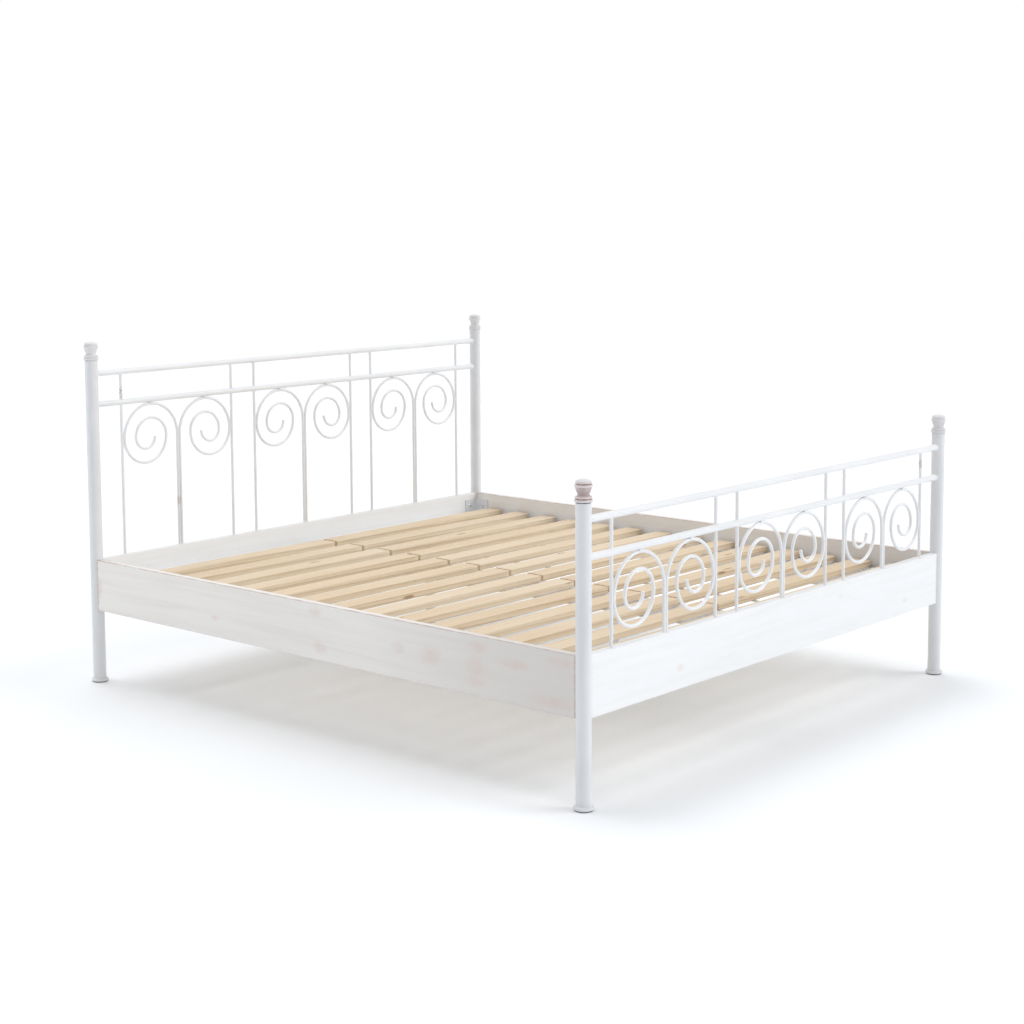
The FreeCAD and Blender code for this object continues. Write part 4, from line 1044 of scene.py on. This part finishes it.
def beam():
    """Rectangular tube, outer and inner faces joined round both ends."""
    outer = np.array(rectangle(beam_size.x, beam_size.z, 3.2 * MM))
    inner = np.array(rectangle(beam_size.x - 2 * BEAM_WALL, beam_size.z - 2 * BEAM_WALL, 1.2 * MM))
    rings = []
    for outline, y in ((outer, beam_low.y), (outer, beam_high.y), (inner, beam_high.y), (inner, beam_low.y)):
        rings.append([(a, y, BEAM_MIDDLE + b) for a, b in outline])
    return skin(rings, loop=True)


finish("centre_beam", [beam()], COAT)
keep("beam_saddles", GALVANISED)
keep("beam_bolts", ZINC)

LEG_PLATE_RISE = 4 * MM
LEG_WALL = 2 * MM
LEG_RADIUS = 16 * MM
LEG_SIDES = 56
LEG_WELD = 3.2 * MM
PAD_OUTLINE = in_millimetres(
    (18.8, 0.0), (20.0, 1.2, 1.2), (20.0, 6.7), (19.8, 7.2), (17.3, 9.7), (16.6, 10.0), (5.4, 10.0),
    (5.05, 9.65), (5.05, 4.0),
)
PLUG_OUTLINE = in_millimetres(
    (5.05, -2.6), (5.4, -3.0), (15.4, -3.0), (16.0, -2.4), (16.0, 0.0), (13.9, 0.0), (13.9, 26.0),
    (5.05, 26.0),
)
COLLAR_BOTTOM = 10.3 * MM
COLLAR_OUTLINE = [(radius * MM, height * MM, hexagonal)
                  for radius, height in ((7.6, 0.0), (8.487, 0.5), (8.487, 5.5), (7.6, 6.0))]
THREAD_PITCH = 1.5 * MM
THREAD_DEPTH = 0.55 * MM


def threaded_rod(base, length, radius):
    """Rod with a real single-start thread from end to end."""
    sides = 24
    steps = 8  # rings in one pitch
    angles = np.arange(sides) * math.tau / sides
    rings = []
    for i in range(int(length / THREAD_PITCH * steps) + 1):
        height = min(i * THREAD_PITCH / steps, length)
        phase = (height / THREAD_PITCH - angles / math.tau) % 1
        reach = radius - THREAD_DEPTH * np.clip(1.25 * np.abs(2 * phase - 1) - 0.12, 0, 1)
        heights = np.full(sides, base[2] + height)
        rings.append(np.stack([base[0] + reach * np.cos(angles), base[1] + reach * np.sin(angles), heights],
                              axis=1))
    return skin(rings)


plugs = []
for end_name in ("foot_end", "head_end"):
    low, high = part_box(f"{end_name}_centre_leg")
    y = (low.y + high.y) / 2
    inner = LEG_RADIUS - LEG_WALL
    plate_under = high.z - LEG_PLATE_RISE
    tube = turned([(inner, 0.0), (LEG_RADIUS - SOFT_ARRIS, 0.0), (LEG_RADIUS, SOFT_ARRIS),
                   (LEG_RADIUS, plate_under - low.z), (inner, plate_under - low.z)],
                  (0.0, y, low.z), sides=LEG_SIDES, loop=True)
    plate = swept([(0.0, y, plate_under), (0.0, y, high.z)],
                  rectangle(high.x - low.x, high.y - low.y, 1.5 * MM), (1, 0, 0), edge=0.5 * MM)
    weld = fillet((0.0, y, plate_under), (0, 0, -1), (1, 0, 0), LEG_RADIUS, None, LEG_WELD, sides=72)
    finish(f"{end_name}_centre_leg", [tube, plate, weld], COAT)
    plugs.append(turned(PLUG_OUTLINE, (0.0, y, low.z), sides=LEG_SIDES, loop=True))
    body = f"{end_name}_levelling_foot"
    low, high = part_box(f"{end_name}_spindle")
    rod = threaded_rod((0.0, y, low.z), high.z - low.z, ROD_RADIUS)
    collar = turned(COLLAR_OUTLINE, (0.0, y, COLLAR_BOTTOM), sides=48)
    finish(f"{end_name}_spindle", [rod, collar], ZINC, body)
    pad = turned(PAD_OUTLINE, (0.0, y, 0.0), sides=LEG_SIDES)
    finish(f"{end_name}_levelling_pad", [pad], PLASTIC, body)
finish("leg_plugs", plugs, PLASTIC)

# ---------------- slats, webbing and staples

SLATS_PER_ROLL = 14
SLAT_WIDTH = 70 * MM
SLAT_ROUND = 2 * MM
SLAT_END_ROUND = 0.8 * MM
WEBBING_SAG = 2.5 * MM
STAPLE_WIRE = 0.55 * MM
STAPLE_REACH = 5 * MM  # half of its crown
STAPLE_LEG = 5 * MM
STAPLE_BEND = 1 * MM
STAPLE_STAGGER = 1 * MM  # off the strap's middle line
STAPLE_SPREAD = 12 * MM  # off the slat's middle line
webbing_low, webbing_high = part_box("webbing_straps")
WEBBING_WIDTH = 22 * MM
WEBBING_THICKNESS = webbing_high.z - webbing_low.z
WEBBING_INSET = 190 * MM


def strap(x, lines):
    """Webbing under a roll of slats. It hangs a little in each gap."""
    taut = (webbing_low.z + webbing_high.z) / 2
    path = []
    for i, y in enumerate(lines):
        for share in (-0.5, -0.2, 0.2, 0.5):
            path.append((x, y + share * SLAT_WIDTH, taut))
        if i + 1 < len(lines):
            start, stop = y + SLAT_WIDTH / 2, lines[i + 1] - SLAT_WIDTH / 2
            for share in (0.15, 0.3, 0.5, 0.7, 0.85):
                drop = WEBBING_SAG * math.sin(math.pi * share) ** 2
                path.append((x, start + share * (stop - start), taut - drop))
    return swept(path, rectangle(WEBBING_WIDTH, WEBBING_THICKNESS, 0.5 * MM), (1, 0, 0))


def staple(x, y):
    """Wire staple through the webbing, its legs up in the slat."""
    crown = webbing_low.z - STAPLE_WIRE * 0.8
    turns = [math.pi / 2 * i / 4 for i in range(5)]
    bend = [(STAPLE_BEND * (1 - math.cos(t)), crown + STAPLE_BEND * (1 - math.sin(t))) for t in turns]
    path = [(x - STAPLE_REACH, y, crown + STAPLE_LEG)]
    path += [(x - STAPLE_REACH + across, y, up) for across, up in bend]
    path += [(x + STAPLE_REACH - across, y, up) for across, up in reversed(bend)]
    path.append((x + STAPLE_REACH, y, crown + STAPLE_LEG))
    return swept(path, circle(STAPLE_WIRE, 8), (0, 1, 0))


straps = []
staples = []
for side, side_name in SIDES.items():
    low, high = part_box(f"{side_name}_slats")
    z = (low.z + high.z) / 2
    slats = []
    lines = np.linspace(low.y + SLAT_WIDTH / 2, high.y - SLAT_WIDTH / 2, SLATS_PER_ROLL)
    for i, y in enumerate(lines):
        slat = swept([(low.x, y, z), (high.x, y, z)], rectangle(SLAT_WIDTH, high.z - low.z, SLAT_ROUND),
                     (0, -1, 0), edge=SLAT_END_ROUND)
        slats.append(grained(slat, 0, 1 + i + SLATS_PER_ROLL * (side == RIGHT)))
    finish(f"{side_name}_slats", slats, PINE)
    for x in (low.x + WEBBING_INSET, high.x - WEBBING_INSET):
        straps.append(strap(x, lines))
        for y in lines:
            for way in (-1, 1):
                staples.append(staple(x + way * STAPLE_STAGGER, y + way * STAPLE_SPREAD))
finish("webbing_straps", straps, WEBBING)
finish("webbing_staples", staples, ZINC, extra=True)

# ---------------- floor, light and camera

FLOOR_REACH = 60.0


def make_floor():
    mesh = bpy.data.meshes.new("floor")
    corners = [(-FLOOR_REACH, -FLOOR_REACH, 0), (FLOOR_REACH, -FLOOR_REACH, 0),
               (FLOOR_REACH, FLOOR_REACH, 0), (-FLOOR_REACH, FLOOR_REACH, 0)]
    mesh.from_pydata(corners, [], [(0, 1, 2, 3)])
    mesh.materials.append(pale_floor())
    floor = new_object("floor", mesh)


def aim(lamp, direction):
    lamp.rotation_euler = direction.to_track_quat("-Z", "Y").to_euler()


def make_sun(name, towards, strength, spread, tint):
    """Soft parallel light that shines along a direction; spread is in degrees."""
    lamp = bpy.data.lights.new(name, "SUN")
    lamp.energy = strength
    lamp.angle = math.radians(spread)
    lamp.color = tint
    aim(new_object(name, lamp), Vector(towards))


def make_softbox(name, place, target, power, size):
    """Square area light that the camera doesn't see."""
    lamp = bpy.data.lights.new(name, "AREA")
    lamp.energy = power
    lamp.size = size
    box = new_object(name, lamp)
    box.location = place
    box.visible_camera = False
    aim(box, Vector(target) - Vector(place))


def make_sky(strength):
    """Even white studio light. The backdrop itself shows pure white."""
    world = bpy.data.worlds.new("studio")
    world.use_nodes = True
    tree = world.node_tree
    shader = tree.nodes["Background"]
    seen = add(tree, "LightPath", output="Is Camera Ray")
    level_seen = add(tree, "MapRange", {"Value": seen, "To Min": strength, "To Max": 1.0})
    shader.inputs["Color"].default_value = (1.0, 1.0, 1.0, 1.0)
    tree.links.new(level_seen, shader.inputs["Strength"])
    bpy.context.scene.world = world


CAMERA_PLACE = (-4.5989, -3.9947, 1.5657)
CAMERA_YAW = math.radians(48.863)  # from +Y towards +X
CAMERA_PITCH = math.radians(6.0385)  # downwards
CAMERA_ROLL = math.radians(-0.2795)
LENS_LENGTH = 66.05  # in millimetres, like the sensor
SENSOR_WIDTH = 36
LENS_SHIFT = -0.109


def make_camera():
    lens = bpy.data.cameras.new("camera")
    lens.lens = LENS_LENGTH
    lens.sensor_width = SENSOR_WIDTH
    lens.shift_y = LENS_SHIFT
    camera = new_object("camera", lens)
    forward = Vector((math.sin(CAMERA_YAW) * math.cos(CAMERA_PITCH),
                      math.cos(CAMERA_YAW) * math.cos(CAMERA_PITCH), -math.sin(CAMERA_PITCH)))
    level_right = Vector((math.cos(CAMERA_YAW), -math.sin(CAMERA_YAW), 0))
    level_up = level_right.cross(forward)
    right = math.cos(CAMERA_ROLL) * level_right + math.sin(CAMERA_ROLL) * level_up
    up = right.cross(forward)
    turn = Matrix((right, up, -forward)).transposed()
    camera.matrix_world = Matrix.Translation(CAMERA_PLACE) @ turn.to_4x4()
    bpy.context.scene.camera = camera


make_floor()
make_sky(strength=0.60)
make_sun("key_light", towards=(-0.55, 0.70, -0.48), strength=1.25, spread=40, tint=(0.97, 0.985, 1.0))
make_sun("back_light", towards=(-0.05, -0.42, -0.91), strength=1.35, spread=45, tint=(0.98, 0.99, 1.0))
make_softbox("side_light", place=(-2.8, 2.8, 1.1), target=(-0.94, 0.9, 0.4), power=8.0, size=1.5)
make_camera()
bpy.context.scene.view_settings.view_transform = "Standard"
